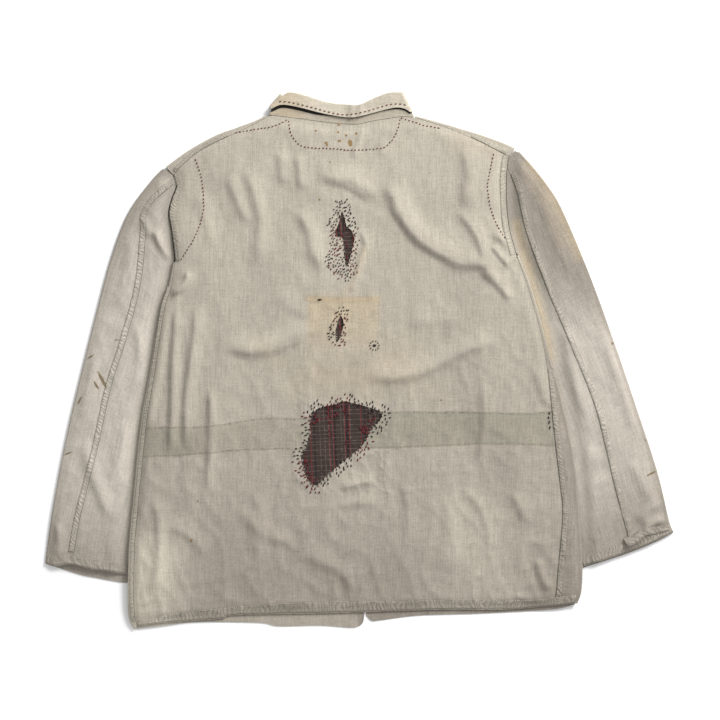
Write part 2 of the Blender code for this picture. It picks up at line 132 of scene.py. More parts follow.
def resample(line: Array, steps: int) -> Array:
    """A line of points read again at even steps of its length.

    Args:
        line: The line.
        steps: How many steps the new line takes.

    Returns:
        The new line's points.
    """
    run = run_along(line)
    wanted = np.linspace(0, run[-1], steps + 1)
    return np.column_stack([np.interp(wanted, run, line[:, k]) for k in range(line.shape[1])])


def length_of(line: Array) -> float:
    """The length of a line of points."""
    return float(np.linalg.norm(np.diff(line, axis=0), axis=1).sum())


def joined(*curves: Array) -> Array:
    """Curves laid end to end as one, each meeting point kept once."""
    return np.vstack([curves[0]] + [c[1:] for c in curves[1:]])


def coons(bottom: Array, top: Array, left: Array, right: Array) -> Array:
    """A grid of points stretched between four edges. Rows run from bottom to top.

    Args:
        bottom: The first row.
        top: The last row.
        left: The first column.
        right: The last column.

    Returns:
        The grid, with the same corners as its edges.
    """
    u = np.linspace(0, 1, len(bottom))[None, :, None]
    v = np.linspace(0, 1, len(left))[:, None, None]
    rows = (1 - v) * bottom[None] + v * top[None]
    columns = (1 - u) * left[:, None] + u * right[:, None]
    low = (1 - u) * bottom[0] + u * bottom[-1]
    high = (1 - u) * top[0] + u * top[-1]
    return rows + columns - (1 - v) * low - v * high


def smooth(x: Array) -> Array:
    """A soft step from 0 to 1."""
    x = np.clip(x, 0, 1)
    return x * x * (3 - 2 * x)


def bell(x: Array, width: float | Array) -> Array:
    """A soft hump, 1 where x is 0."""
    return np.exp(-((x / width) ** 2))


def nearest(points: Array, line: Array) -> tuple[Array, Array, Array]:
    """The nearest place on a line for each point.

    Args:
        points: Points across, in any arrangement.
        line: A line of points.

    Returns:
        The distance, the share of the line's length run so far, and the offset from the line.
    """
    flat = points.reshape(-1, 2)
    a, b = line[:-1], line[1:]
    step = b - a
    size = (step**2).sum(-1)
    run = np.concatenate([[0], np.cumsum(np.sqrt(size))])
    away, share, offset = np.empty(len(flat)), np.empty(len(flat)), np.empty((len(flat), 2))
    for start in range(0, len(flat), CHUNK):
        some = slice(start, start + CHUNK)
        gap = flat[some, None] - a
        along = np.clip((gap * step).sum(-1) / size, 0, 1)
        gap -= along[..., None] * step
        far = (gap**2).sum(-1)
        best = far.argmin(-1)
        each = np.arange(len(best))
        away[some] = np.sqrt(far[each, best])
        share[some] = (run[best] + along[each, best] * np.sqrt(size[best])) / run[-1]
        offset[some] = gap[each, best]
    shape = points.shape[:-1]
    return away.reshape(shape), share.reshape(shape), offset.reshape(*shape, 2)


def distance(points: Array, line: Array) -> Array:
    """The distance from each point to a line."""
    return nearest(points, line)[0]


def inside(points: Array, ring: Array) -> Array:
    """Whether each point lies inside a closed ring of points.

    Args:
        points: Points across, in any arrangement.
        ring: The ring's points, the first not repeated.

    Returns:
        True for each point inside.
    """
    flat = points.reshape(-1, 2)
    a, b = ring, np.roll(ring, -1, axis=0)
    height = np.where(a[:, 1] == b[:, 1], 1, b[:, 1] - a[:, 1])
    held = np.empty(len(flat), bool)
    for start in range(0, len(flat), CHUNK):
        some = slice(start, start + CHUNK)
        x, y = flat[some, 0, None], flat[some, 1, None]
        crosses = (a[:, 1] > y) != (b[:, 1] > y)
        at = a[:, 0] + (y - a[:, 1]) / height * (b[:, 0] - a[:, 0])
        held[some] = (crosses & (x < at)).sum(-1) % 2 == 1
    return held.reshape(points.shape[:-1])


def signed(points: Array, ring: Array) -> Array:
    """The distance to a ring's edge, positive inside it."""
    away = distance(points, np.vstack([ring, ring[:1]]))
    return np.where(inside(points, ring), away, -away)


def normals(line: Array, side: int) -> Array:
    """Unit normals of a line of points. Side 1 is to the right of its direction, -1 to the left.

    Args:
        line: The line.
        side: The side that they point to.

    Returns:
        A unit vector a point.
    """
    along = np.gradient(line, axis=0)
    along /= np.linalg.norm(along, axis=1)[:, None]
    return side * np.column_stack([along[:, 1], -along[:, 0]])


def outward(ring: Array) -> Array:
    """Unit normals that point out of a closed ring."""
    area = (ring[:-1, 0] * ring[1:, 1] - ring[1:, 0] * ring[:-1, 1]).sum()
    return normals(ring, 1 if area > 0 else -1)


def level(points: Array, z: Array | float) -> Array:
    """Points across with their heights."""
    return np.concatenate([points, np.broadcast_to(z, points.shape[:-1])[..., None]], axis=-1)


class Noise:
    """Smooth seeded noise on the plane, between about -1 and 1."""

    def __init__(self, seed: int) -> None:
        """Draws the slopes at the corners of the cells."""
        turns = np.random.default_rng(seed).uniform(0, 2 * np.pi, (NOISE_CELLS, NOISE_CELLS))
        self.slopes = np.stack([np.cos(turns), np.sin(turns)], axis=-1)

    def at(self, points: Array, across: float, along: float, turn: float = 0.0) -> Array:
        """The noise at points, with cells of a size in millimetres, turned by degrees.

        Args:
            points: Points across.
            across: A cell's width.
            along: A cell's length.
            turn: How far the cells are turned.

        Returns:
            A number a point.
        """
        c, s = math.cos(math.radians(turn)), math.sin(math.radians(turn))
        x = (points[..., 0] * c + points[..., 1] * s) / (across * MM) + NOISE_SHIFT[0]
        y = (points[..., 1] * c - points[..., 0] * s) / (along * MM) + NOISE_SHIFT[1]
        i, j = np.floor(x).astype(int), np.floor(y).astype(int)
        fx, fy = x - i, y - j
        u, v = (f * f * f * (f * (6 * f - 15) + 10) for f in (fx, fy))
        corners = []
        for di, dj in ((0, 0), (1, 0), (0, 1), (1, 1)):
            slope = self.slopes[(i + di) % NOISE_CELLS, (j + dj) % NOISE_CELLS]
            corners.append(slope[..., 0] * (fx - di) + slope[..., 1] * (fy - dj))
        low = corners[0] + u * (corners[1] - corners[0])
        high = corners[2] + u * (corners[3] - corners[2])
        return NOISE_GAIN * (low + v * (high - low))


NOISES = [Noise(seed) for seed in range(8)]


@dataclass(frozen=True)
class Wave:
    """Soft uneven waves in the cloth. Sizes are in millimetres and the turn in degrees."""

    height: float
    noise: int
    across: float
    along: float
    turn: float = 0.0

    def at(self, p: Array, way: int = 1) -> Array:
        """The waves' height at each point, with their turn kept, or mirrored where way is -1."""
        return self.height * (1 + NOISES[self.noise].at(p, self.across, self.along, way * self.turn))

    def ridge(self, p: Array, sharpness: int) -> Array:
        """The same noise as narrow ridges between wide flats."""
        flat = np.abs(NOISES[self.noise].at(p, self.across, self.along, self.turn))
        return self.height * (1 - flat) ** sharpness


BACK_WAVES = [Wave(1.2, 0, 85, 130, 8), Wave(0.8, 1, 36, 70, -6), Wave(0.3, 2, 16, 28, 20),
              Wave(0.1, 3, 7, 11)]
SLEEVE_WAVES = [Wave(1.0, 5, 55, 110, 12), Wave(0.5, 6, 26, 60, 12), Wave(0.2, 2, 12, 22, 12),
                Wave(0.07, 3, 6, 9)]
CRUMPLES = [(Wave(0.75, 5, 42, 80, 22), 7), (Wave(0.6, 6, 34, 60, -34), 7), (Wave(0.35, 4, 18, 30, 60), 6)]


# ---------------------------------------------------------------- the cut of the jacket


@dataclass(frozen=True)
class HalfCut:
    """The seams and edges of one half of the jacket, in millimetres as it lies."""

    side_edge: Line
    side_seam: Line
    armhole_top: Line
    cap: Line
    shoulder_edge: Line
    shoulder_seam: Line
    front_hem: Line
    front_edge: Line
    front_neck: Line
    sleeve_edge: Line
    rear_seam: Line
    inner_edge: Line
    cuff_top: Line
    cuff_under: Line
    front_roll: Line
    front_leaf: Line
    turn: int  # 1 on the left, -1 on the right

    def armhole(self, rows: int, cap_rows: int) -> Array:
        """The seam round the armhole, from the armpit up to the shoulder's edge."""
        return joined(curve(self.armhole_top, rows), curve(self.cap, cap_rows))


HALVES = {
    Side.LEFT: HalfCut(
        side_edge=[(-338, -403), (-346, -385), (-347, -340), (-345, -273), (-338, -196), (-328, -97),
                   (-315, -22), (-299, 74), (-287, 108), (-279, 147)],
        side_seam=[(-333, -398), (-337, -380), (-338, -340), (-336, -273), (-329, -196), (-319, -97),
                   (-307, -22), (-292, 74), (-282, 108), (-276, 147)],
        armhole_top=[(-276, 147), (-281, 190), (-286, 219), (-282, 240), (-275, 258), (-276, 268),
                     (-279, 277)],
        cap=[(-279, 277), (-285, 282), (-291, 287)],
        shoulder_edge=[(-290, 290), (-255, 315), (-215, 337), (-185, 348), (-158, 358), (-139, 367)],
        shoulder_seam=[(-279, 277), (-266, 291), (-245, 309), (-225, 321), (-192, 337), (-158, 353),
                       (-136, 366)],
        front_hem=[(-338, -403), (-288, -397), (-239, -393), (-150, -394), (-122, -399), (-60, -398),
                   (-18, -401), (-3, -400), (5, -394), (7, -385)],
        front_edge=[(7, -385), (-24, 298)],
        front_neck=[(-134, 367), (-124, 335), (-94, 310), (-58, 301), (-24, 299)],
        sleeve_edge=[(-295, 287), (-312, 269), (-346, 222), (-371, 158), (-393, 77), (-414, -7),
                     (-437, -104), (-458, -212), (-469, -285), (-471, -305)],
        rear_seam=[(-277, 266), (-316, 226), (-320, 188), (-328, 112), (-349, 32), (-372, -41),
                   (-393, -137), (-418, -235), (-427, -286), (-432, -306)],
        inner_edge=[(-277, 147), (-245, 90), (-232, 38), (-254, -60), (-284, -165), (-310, -255),
                    (-320, -332)],
        cuff_top=[(-471, -305), (-456, -309), (-432, -306), (-403, -313), (-351, -321), (-320, -332)],
        cuff_under=[(-471, -305), (-422, -321), (-393, -327), (-351, -334), (-320, -332)],
        front_roll=[(-116, 395), (-102, 364), (-76, 341), (-50, 332), (-25, 330)],
        front_leaf=[(-132, 376), (-133, 350), (-120, 318), (-80, 292), (-29, 284)],
        turn=1,
    ),
    Side.RIGHT: HalfCut(
        side_edge=[(326, -365), (332, -348), (334, -315), (332, -270), (322, -156), (303, -60),
                   (285, 5), (276, 42), (257, 110), (238, 157)],
        side_seam=[(290, -368), (294, -345), (296, -318), (303, -232), (299, -184), (290, -105),
                   (281, -15), (271, 42), (252, 109), (235, 157)],
        armhole_top=[(235, 157), (224, 198), (220, 237), (220, 275), (222, 296), (224, 305)],
        cap=[(224, 305), (229, 311), (234, 315)],
        shoulder_edge=[(233, 318), (212, 327), (181, 338), (151, 347), (121, 356), (84, 366)],
        shoulder_seam=[(224, 305), (203, 315), (180, 327), (151, 340), (119, 352), (81, 364)],
        front_hem=[(326, -365), (286, -374), (181, -380), (89, -383), (32, -390), (18, -391), (10, -383)],
        front_edge=[(10, -383), (-20, 298)],
        front_neck=[(80, 364), (70, 335), (42, 311), (10, 302), (-20, 299)],
        sleeve_edge=[(239, 313), (258, 292), (281, 263), (304, 225), (345, 128), (382, 27), (411, -58),
                     (446, -165), (464, -240), (471, -258)],
        rear_seam=[(221, 290), (235, 252), (249, 191), (280, 107), (315, 23), (353, -73), (380, -184),
                   (401, -262), (409, -285)],
        inner_edge=[(236, 157), (218, 98), (211, 45), (233, -60), (272, -165), (304, -255), (319, -314)],
        cuff_top=[(471, -258), (445, -270), (409, -285), (336, -309), (319, -314)],
        cuff_under=[(471, -258), (445, -272), (401, -290), (336, -311), (319, -314)],
        front_roll=[(61, 400), (50, 364), (28, 341), (4, 332), (-19, 330)],
        front_leaf=[(76, 371), (80, 345), (70, 318), (38, 294), (-15, 284)],
        turn=-1,
    ),
}
BACK_NECK: Line = [(-134, 367), (-94, 362), (-49, 356), (-7, 353), (20, 358), (59, 364), (80, 364)]
BACK_HEM: Line = [(-333, -398), (-288, -393), (-209, -388), (-184, -382), (-35, -379), (121, -374),
                  (216, -374), (290, -368)]
HEM_STITCH: Line = [(-330, -388), (-317, -389), (-284, -380), (-209, -371), (-85, -362), (89, -359),
                    (169, -357), (252, -359), (291, -355)]
BACK_ROLL: Line = [(-116, 395), (-105, 400), (-81, 395), (-49, 385), (-14, 381), (2, 382), (20, 390),
                   (43, 399), (61, 400)]
BACK_LEAF: Line = [(-132, 376), (-117, 382), (-94, 379), (-49, 368), (-14, 363), (9, 367), (35, 374),
                   (55, 378), (68, 376), (76, 371)]
TEARS: dict[str, Line] = {
    "upper": [(-26, 225), (-29, 213), (-32, 203), (-37, 191), (-36, 185), (-26, 182), (-24, 169), (-23, 156),
              (-20, 140), (-15, 150), (-12, 162), (-9, 172), (-8, 183), (-12, 194), (-19, 200), (-22, 212)],
    "small": [(-28, 68), (-33, 57), (-36, 45), (-36, 34), (-34, 26), (-29, 34), (-25, 47), (-24, 58)],
    "large": [(-74, -85), (-64, -74), (-51, -69), (-36, -66), (-22, -62), (11, -70), (34, -80),
              (25, -96), (18, -103), (4, -128), (-19, -148), (-51, -175), (-59, -184), (-69, -188),
              (-79, -177), (-87, -151), (-85, -140), (-76, -116)],
}
STRIP_TOP: Line = [(-334, -100), (-223, -97), (-149, -86), (-76, -85), (38, -77), (184, -77), (257, -79),
                   (296, -73)]
STRIP_LOW: Line = [(-338, -148), (-229, -141), (-149, -135), (-85, -135), (25, -133), (91, -131),
                   (190, -127), (257, -128), (301, -131)]
TURNED_TOP: Line = [(395, -267), (409, -262), (421, -253), (443, -249), (464, -246)]
TURNED_LOW: Line = [(402, -280), (416, -275), (427, -264), (447, -260), (463, -255)]
LIT_WAY = np.array([0.66, 0.75])  # towards the side where a fold slopes gently


@dataclass(frozen=True)
class Crease:
    """A soft ridge whose steep side runs along a line, and which slopes gently beyond it."""

    points: Line
    height: float  # millimetres, below zero for a trough
    easy: float = 12.0  # half width towards the upper right
    steep: float = 7.0  # half width towards the lower left
    taper: float = 0.25  # share of its length over which each end dies away

    def at(self, points: Array) -> Array:
        """The height that this crease adds at each point, in metres.

        Args:
            points: Points across, in any arrangement.

        Returns:
            A height a point.
        """
        line = curve(self.points, 8 * (len(self.points) - 1)) + 0.7 * self.steep * MM * LIT_WAY
        flat = points.reshape(-1, 2)
        reach = 3 * max(self.easy, self.steep) * MM
        near = ((flat > line.min(0) - reach) & (flat < line.max(0) + reach)).all(-1)
        total = np.zeros(len(flat))
        if near.any():
            away, share, offset = nearest(flat[near], line)
            lit = smooth(offset @ LIT_WAY / (4 * MM) + 0.5)
            width = (self.steep + (self.easy - self.steep) * lit) * MM
            ends = smooth(share / self.taper) * smooth((1 - share) / self.taper)
            total[near] = self.height * MM * ends * bell(away, width)
        return total.reshape(points.shape[:-1])


BACK_CREASES = [
    Crease([(40, 236), (62, 204), (86, 176), (112, 158), (136, 148)], 2.6, 7, 4, 0.2),
    Crease([(-60, 268), (-30, 262), (-6, 250), (16, 236)], 1.8, 7, 4, 0.2),
    Crease([(178, 132), (196, 118), (214, 100), (224, 84)], 2.8, 8, 5, 0.2),
    Crease([(196, 170), (210, 152), (222, 138)], 2.4, 7, 4, 0.2),
    Crease([(-300, -250), (-262, -262), (-226, -300)], 1.8, 9, 6, 0.3),
    Crease([(-190, -220), (-150, -262), (-96, -280)], 1.6, 11, 7, 0.3),
    Crease([(60, -180), (72, -236), (64, -290)], 1.6, 9, 6, 0.3),
    Crease([(150, -190), (182, -232), (196, -290)], 1.6, 10, 6, 0.3),
    Crease([(-72, 272), (-45, 271), (-17, 266), (2, 255), (30, 238)], 3.7, 15, 8),
    Crease([(36, 262), (46, 242), (55, 225), (76, 189), (95, 173), (121, 156), (145, 141), (178, 139),
            (206, 121)], 4.3, 16, 8, 0.12),
    Crease([(-179, 294), (-161, 246), (-152, 204), (-155, 162), (-161, 132)], 3.0, 13, 8),
    Crease([(-200, 276), (-185, 234), (-167, 198)], 1.9, 10, 6),
    Crease([(-94, 226), (-86, 205), (-79, 186), (-71, 153), (-54, 130)], 3.2, 14, 8),
    Crease([(151, 318), (160, 270), (151, 222)], 2.5, 12, 8),
    Crease([(143, 222), (160, 202), (173, 183), (181, 161), (193, 144)], 2.8, 10, 6),
    Crease([(-210, 15), (-161, 8), (-119, 17), (-89, 42), (-71, 66)], 3.5, 16, 8),
    Crease([(-11, -27), (49, -30), (91, -21), (133, 0), (163, 15), (210, 26)], 3.5, 16, 8),
    Crease([(-227, -42), (-221, -90), (-224, -180)], 2.1, 8, 6),
    Crease([(181, -24), (184, -96), (175, -160)], 2.1, 8, 6),
    Crease([(-35, -195), (-5, -187), (25, -183)], 1.8, 9, 6),
    Crease([(-41, -222), (-8, -217), (25, -216)], 1.6, 9, 6),
    Crease([(-95, -292), (-35, -318), (0, -356)], 2.3, 14, 8),
    Crease([(225, -200), (238, -226), (250, -250)], 2.2, 11, 7),
    Crease([(-309, -200), (-302, -260), (-303, -310), (-314, -362)], 3.0, 10, 6),
    Crease([(259, -12), (268, -42), (278, -76)], 1.9, 9, 6),
    Crease([(-215, 17), (-154, 14), (-74, 51)], 1.6, 14, 9),
    Crease([(193, 190), (216, 172), (237, 139)], 2.2, 10, 6),
    Crease([(181, 132), (202, 121), (222, 112)], 1.6, 10, 6),
    Crease([(-262, 60), (-258, -20), (-270, -95)], 1.4, 14, 10),
    Crease([(120, -200), (132, -262), (118, -330)], 1.4, 16, 11),
    Crease([(-150, -190), (-158, -262), (-146, -330)], 1.4, 15, 10),
    Crease([(-250, 250), (-232, 205), (-226, 160)], 1.4, 12, 8),
    Crease([(-42, -336), (-38, -348), (-37, -362)], 1.3, 5, 4),
    Crease([(-20, -332), (-18, -346), (-18, -362)], 1.3, 5, 4),
    Crease([(2, -334), (4, -350), (3, -362)], 1.2, 5, 4),
    Crease([(60, 60), (110, 52), (150, 66)], 1.3, 16, 11),
    Crease([(-297, 104), (-301, 36), (-315, -57), (-322, -120)], 4.4, 8, 5, 0.15),
    Crease([(-275, 84), (-281, -8), (-283, -90), (-286, -150)], 4.2, 9, 5, 0.15),
    Crease([(-224, -40), (-226, -110), (-229, -200)], 2.6, 6, 4, 0.15),
    Crease([(-244, 84), (-252, 10), (-262, -66), (-262, -141)], 3.8, 9, 5, 0.15),
    Crease([(-285, 96), (-272, 103), (-262, 116), (-258, 132)], 4.2, 7, 4, 0.15),
    Crease([(-121, 312), (-120, 285), (-118, 258)], 2.1, 10, 6),
    Crease([(-95, 308), (-92, 280), (-90, 250)], 2.4, 10, 6),
    Crease([(3, 350), (-2, 328), (-13, 298)], 1.5, 6, 4),
    Crease([(28, 330), (34, 318), (30, 300)], 0.9, 5, 4),
    Crease([(-3, 197), (8, 172), (3, 157), (-7, 120), (-17, 96)], 1.5, 5, 4, 0.15),
    Crease([(-130, 100), (-100, 70), (-60, 58)], 1.2, 14, 9),
    Crease([(262, -296), (270, -326), (284, -350)], 2.6, 8, 5, 0.2),
    Crease([(228, -352), (250, -362), (276, -358)], 1.5, 5, 4),
    Crease([(240, -368), (262, -364), (284, -366)], 1.3, 4, 3),
]
SLEEVE_CREASES = {
    Side.LEFT: [
        Crease([(-312, 196), (-300, 170), (-284, 146)], 3.5, 9, 6),
        Crease([(-345, 190), (-352, 130), (-368, 70)], 1.8, 12, 8),
        Crease([(-420, -120), (-398, -190), (-372, -250)], 2.5, 14, 8),
        Crease([(-340, 60), (-330, 0), (-338, -60)], 2.1, 12, 8),
        Crease([(-352, -90), (-362, -150), (-380, -205)], 1.9, 12, 8),
        Crease([(-395, 20), (-410, -60), (-418, -120)], 1.6, 12, 8),
        Crease([(-456, -300), (-452, -278), (-458, -240)], 1.6, 8, 5),
        Crease([(-330, 214), (-322, 200), (-318, 180)], 1.6, 6, 4),
    ],
    Side.RIGHT: [
        Crease([(262, 262), (286, 190), (318, 110)], 1.6, 13, 9),
        Crease([(300, 60), (318, -30), (340, -110)], 2.5, 14, 8),
        Crease([(300, -190), (330, -160), (355, -130)], 2.7, 12, 7),
        Crease([(318, -232), (345, -196), (372, -170)], 1.9, 10, 6),
        Crease([(360, 40), (392, -50), (418, -130)], 1.6, 13, 8),
        Crease([(466, -243), (448, -244), (431, -251), (424, -262), (408, -276), (392, -286)],
               4.8, 8, 5, 0.15),
        Crease([(452, -218), (430, -226), (412, -246)], 2.2, 9, 6),
        Crease([(402, -150), (420, -190), (440, -222)], 1.6, 11, 7),
    ],
}


class Form:
    """How high each layer of the jacket lies at any point of the plane."""

    lift_flat = 24 * MM  # the body stays fully lifted this far past a hidden sleeve's edge
    lift_fade = 70 * MM  # and comes down over this much more
    leaf_middle = np.array([-28, 350]) * MM  # the oval over the collar's hidden half
    leaf_size = np.array([155, 90]) * MM
    hem_fade = 90 * MM  # the body reaches its full thickness this far from the hem
    cuff_fade = 60 * MM
    puff_fade = 80 * MM
    crown_fade = 40 * MM
    roll = 8 * MM  # half width of the dip along an armhole
    roll_depth = 2.2 * MM

    def __init__(self) -> None:
        """Finds the outlines that the heights depend on."""
        self.hidden = []
        for cut in HALVES.values():
            inner = curve(cut.inner_edge, 24)
            cuff = np.array(cut.cuff_top[0], float) * MM
            self.hidden.append(np.vstack([inner, cuff, (cuff[0], inner[0, 1])]))
        left, right = [
            np.vstack([curve(c.side_edge, 60), c.armhole(18, 3), curve(c.shoulder_edge, 30)])
            for c in HALVES.values()
        ]
        self.body = np.vstack([left, curve(BACK_NECK, 30), right[::-1], curve(BACK_HEM, 40)[::-1]])
        self.ring = np.vstack([self.body, self.body[:1]])
        self.hem = curve(BACK_HEM, 30)
        self.armholes = [curve(c.armhole_top, 24) for c in HALVES.values()]
        self.side_seams = [curve(c.side_seam, 50) for c in HALVES.values()]
        self.tears = [closed_curve(ring, 60) for ring in TEARS.values()]

    def over_sleeve(self, p: Array) -> Array:
        """How far the body is lifted by the sleeves under its sides.

        Args:
            p: Points across.

        Returns:
            A height a point.
        """
        away = np.full(p.shape[:-1], np.inf)
        for ring in self.hidden:
            away = np.minimum(away, -np.minimum(signed(p, ring), 0))
        return SLEEVE_RISE * smooth(1 - (away - self.lift_flat) / self.lift_fade)

    def rise(self, p: Array) -> Array:
        """How far the body's layers are lifted in all, by the sleeves and by the collar's leaf."""
        out = np.linalg.norm((p - self.leaf_middle) / self.leaf_size, axis=-1)
        return self.over_sleeve(p) + COLLAR_RISE * smooth(1 - (out - 1) / 0.9)

    def tube(self, p: Array) -> Array:
        """The body's thickness over both layers before any fold, thinner at the hem."""
        return HEM_TUBE + (TUBE - HEM_TUBE) * smooth(distance(p, self.hem) / self.hem_fade)

    def relief(self, p: Array) -> Array:
        """The folds and wrinkles of the back, above its level form.

        Args:
            p: Points across.

        Returns:
            A height a point, in metres.
        """
        edge = np.maximum(signed(p, self.body), 0)
        puff = PUFF * smooth((edge - FOLD) / self.puff_fade)
        folds = np.zeros(p.shape[:-1])
        for crease in BACK_CREASES:
            folds += crease.at(p)
        waves = sum(wave.at(p) for wave in BACK_WAVES)
        waves += self.crumple(p) * (0.7 + 1.1 * smooth(0.3 - p[..., 1] / 0.4))
        seams = np.min([distance(p, line) for line in self.side_seams + [self.hem]], axis=0)
        gather = 0.30 * np.exp(-np.maximum(seams - 8 * MM, 0) / (14 * MM)) * (1 + NOISES[4].at(p, 7, 8))
        lips = sum(0.45 * bell(distance(p, tear), 3.5 * MM) for tear in self.tears)
        free = smooth((edge - FOLD) / (16 * MM))
        total = puff + free * (folds + (waves + gather + lips) * MM)
        return MOST_RELIEF * np.tanh(total / MOST_RELIEF)

    @staticmethod
    def crumple(p: Array) -> Array:
        """Fine sharp wrinkles that cross each other, in millimetres.

        Args:
            p: Points across.

        Returns:
            A height a point.
        """
        return sum(wave.ridge(p, sharpness) for wave, sharpness in CRUMPLES)

    def top(self, p: Array) -> Array:
        """The upper surface of the back, and of the fronts where they come round to the back.

        Args:
            p: Points across.

        Returns:
            A height a point.
        """
        roll = np.zeros(p.shape[:-1])
        for line in self.armholes:
            roll = np.maximum(roll, 1 - smooth(distance(p, line) / self.roll))
        drop = self.roll_depth * roll * self.over_sleeve(p) / SLEEVE_RISE
        return self.tube(p) + self.rise(p) + self.relief(p) - drop

    def sleeve_tube(self, p: Array, side: Side) -> Array:
        """A sleeve's thickness before any fold, thinner at the cuff."""
        cuff = distance(p, curve(HALVES[side].cuff_top, 16))
        return CUFF_TUBE + (SLEEVE_TUBE - CUFF_TUBE) * smooth(cuff / self.cuff_fade)

    def sleeve_relief(self, p: Array, side: Side) -> Array:
        """The folds and wrinkles of a sleeve, which stays level where the body lies on it.

        Args:
            p: Points across.
            side: Whose sleeve.

        Returns:
            A height a point, in metres.
        """
        open_side = np.where(inside(p, self.body), 0, distance(p, self.ring))
        edge = distance(p, curve(HALVES[side].sleeve_edge, 30))
        clear = smooth((open_side - 6 * MM) / (18 * MM))
        crown = CROWN * smooth((edge - 2 * FOLD) / self.crown_fade)
        folds = np.zeros(p.shape[:-1])
        for crease in SLEEVE_CREASES[side]:
            folds += crease.at(p)
        waves = sum(wave.at(p, -HALVES[side].turn) for wave in SLEEVE_WAVES) + 0.9 * self.crumple(p)
        seam = distance(p, curve(HALVES[side].rear_seam, 24))
        gather = 0.22 * np.exp(-seam / (12 * MM)) * (1 + NOISES[4].at(p, 7, 8))
        free = smooth((edge - FOLD) / (12 * MM))
        return clear * (crown + free * (folds + (waves + gather) * MM))

    def sleeve_top(self, p: Array, side: Side) -> Array:
        """The upper surface of a sleeve."""
        return self.sleeve_tube(p, side) + self.sleeve_relief(p, side)


FORM = Form()


def patch_top(p: Array) -> Array:
    """The upper surface of the patches, against the back's underside."""
    return FORM.top(p) - WALL - 0.1 * MM


# ---------------------------------------------------------------- meshes


def grid_faces(rows: int, columns: int) -> Array:
    """The four-sided faces of a grid of points.

    Args:
        rows: Rows of points.
        columns: Columns of points.

    Returns:
        Four point numbers a face.
    """
    index = np.arange(rows * columns).reshape(rows, columns)
    return np.stack([index[:-1, :-1], index[:-1, 1:], index[1:, 1:], index[1:, :-1]], axis=-1).reshape(-1, 4)


def make_object(name: str, points: Array, faces: list[Array]) -> bpy.types.Object:
    """An object of smooth faces at the origin.

    Args:
        name: Its name.
        points: Its points.
        faces: Blocks of faces, each with its own number of corners.

    Returns:
        The object, in the scene.
    """
    mesh = bpy.data.meshes.new(name)
    every = [row for block in faces for row in block.tolist()]
    mesh.from_pydata(points.tolist(), [], every)
    mesh.validate()
    mesh.shade_smooth()
    made = bpy.data.objects.new(name, mesh)
    bpy.context.scene.collection.objects.link(made)
    return made


def put_values(made: bpy.types.Object, values: Values) -> None:
    """Stores one number a point under each name.

    Args:
        made: The object.
        values: The numbers, by name.
    """
    for name, each in values.items():
        layer = made.data.attributes.new(name, "FLOAT", "POINT")
        layer.data.foreach_set("value", np.ascontiguousarray(each, dtype=np.float32))


def put_cloth(made: bpy.types.Object, cloth: Array) -> None:
    """Stores each point's place on the flat cloth as the UV map named cloth.

    Args:
        made: The object.
        cloth: A place a point, in metres.
    """
    corners = np.empty(len(made.data.loops), np.int32)
    made.data.loops.foreach_get("vertex_index", corners)
    layer = made.data.uv_layers.new(name="cloth")
    layer.data.foreach_set("uv", cloth[corners].astype(np.float32).ravel())


@dataclass
class Shell:
    """A closed thin wall of cloth, gathered from grids of points that meet at their edges."""

    name: str
    outer: list[Array] = field(default_factory=list)
    inner: list[Array] = field(default_factory=list)
    cloth: list[Array] = field(default_factory=list)
    faces: list[Array] = field(default_factory=list)
    count: int = 0

    def add(self, outer: Array, inner: Array, cloth: Array, faces: list[Array] | None = None) -> None:
        """Adds points with their faces, or a whole grid where no faces are given.

        Args:
            outer: Points of the outer wall.
            inner: Points of the inner wall.
            cloth: Places on the flat cloth.
            faces: Blocks of faces between the points.
        """
        if faces is None:
            faces = [grid_faces(*outer.shape[:2])]
        self.faces += [block + self.count for block in faces]
        self.outer.append(outer.reshape(-1, 3))
        self.inner.append(inner.reshape(-1, 3))
        self.cloth.append(cloth.reshape(-1, 2))
        self.count += len(self.outer[-1])

    def build(self, tones: Tone) -> bpy.types.Object:
        """Joins the grids, closes the rims and turns the faces outwards.

        Args:
            tones: What gives the numbers for the finish from the outer wall's points.

        Returns:
            The shell.
        """
        outer, inner, cloth = (np.vstack(x) for x in (self.outer, self.inner, self.cloth))
        keys = np.floor(outer / MERGE + CELL_SHIFT).astype(np.int64)
        _, first, same = np.unique(keys, axis=0, return_index=True, return_inverse=True)
        faces = [same.reshape(-1)[block] for block in self.faces]
        outer, inner, cloth = outer[first], inner[first], cloth[first]
        count = len(outer)
        ends = np.concatenate([np.stack([f, np.roll(f, -1, axis=1)], axis=-1).reshape(-1, 2) for f in faces])
        pairs = np.sort(ends, axis=1)
        _, which, uses = np.unique(pairs, axis=0, return_inverse=True, return_counts=True)
        rim = ends[uses[which.reshape(-1)] == 1]
        rims = np.stack([rim[:, 1], rim[:, 0], rim[:, 0] + count, rim[:, 1] + count], axis=-1)
        blocks = faces + [block[:, ::-1] + count for block in faces] + [rims]
        points = np.vstack([outer, inner])
        volume = 0.0
        for block in blocks:
            for k in range(1, block.shape[1] - 1):
                a, b, c = points[block[:, 0]], points[block[:, k]], points[block[:, k + 1]]
                volume += (a * np.cross(b, c)).sum()
        if volume < 0:
            blocks = [block[:, ::-1] for block in blocks]
        made = make_object(self.name, points, blocks)
        put_cloth(made, np.vstack([cloth, cloth]))
        values = tones(outer)
        put_values(made, {name: np.concatenate([v, v]) for name, v in values.items()})
        made.data.set_sharp_from_angle(angle=math.radians(SHARP_ANGLE))
        return made


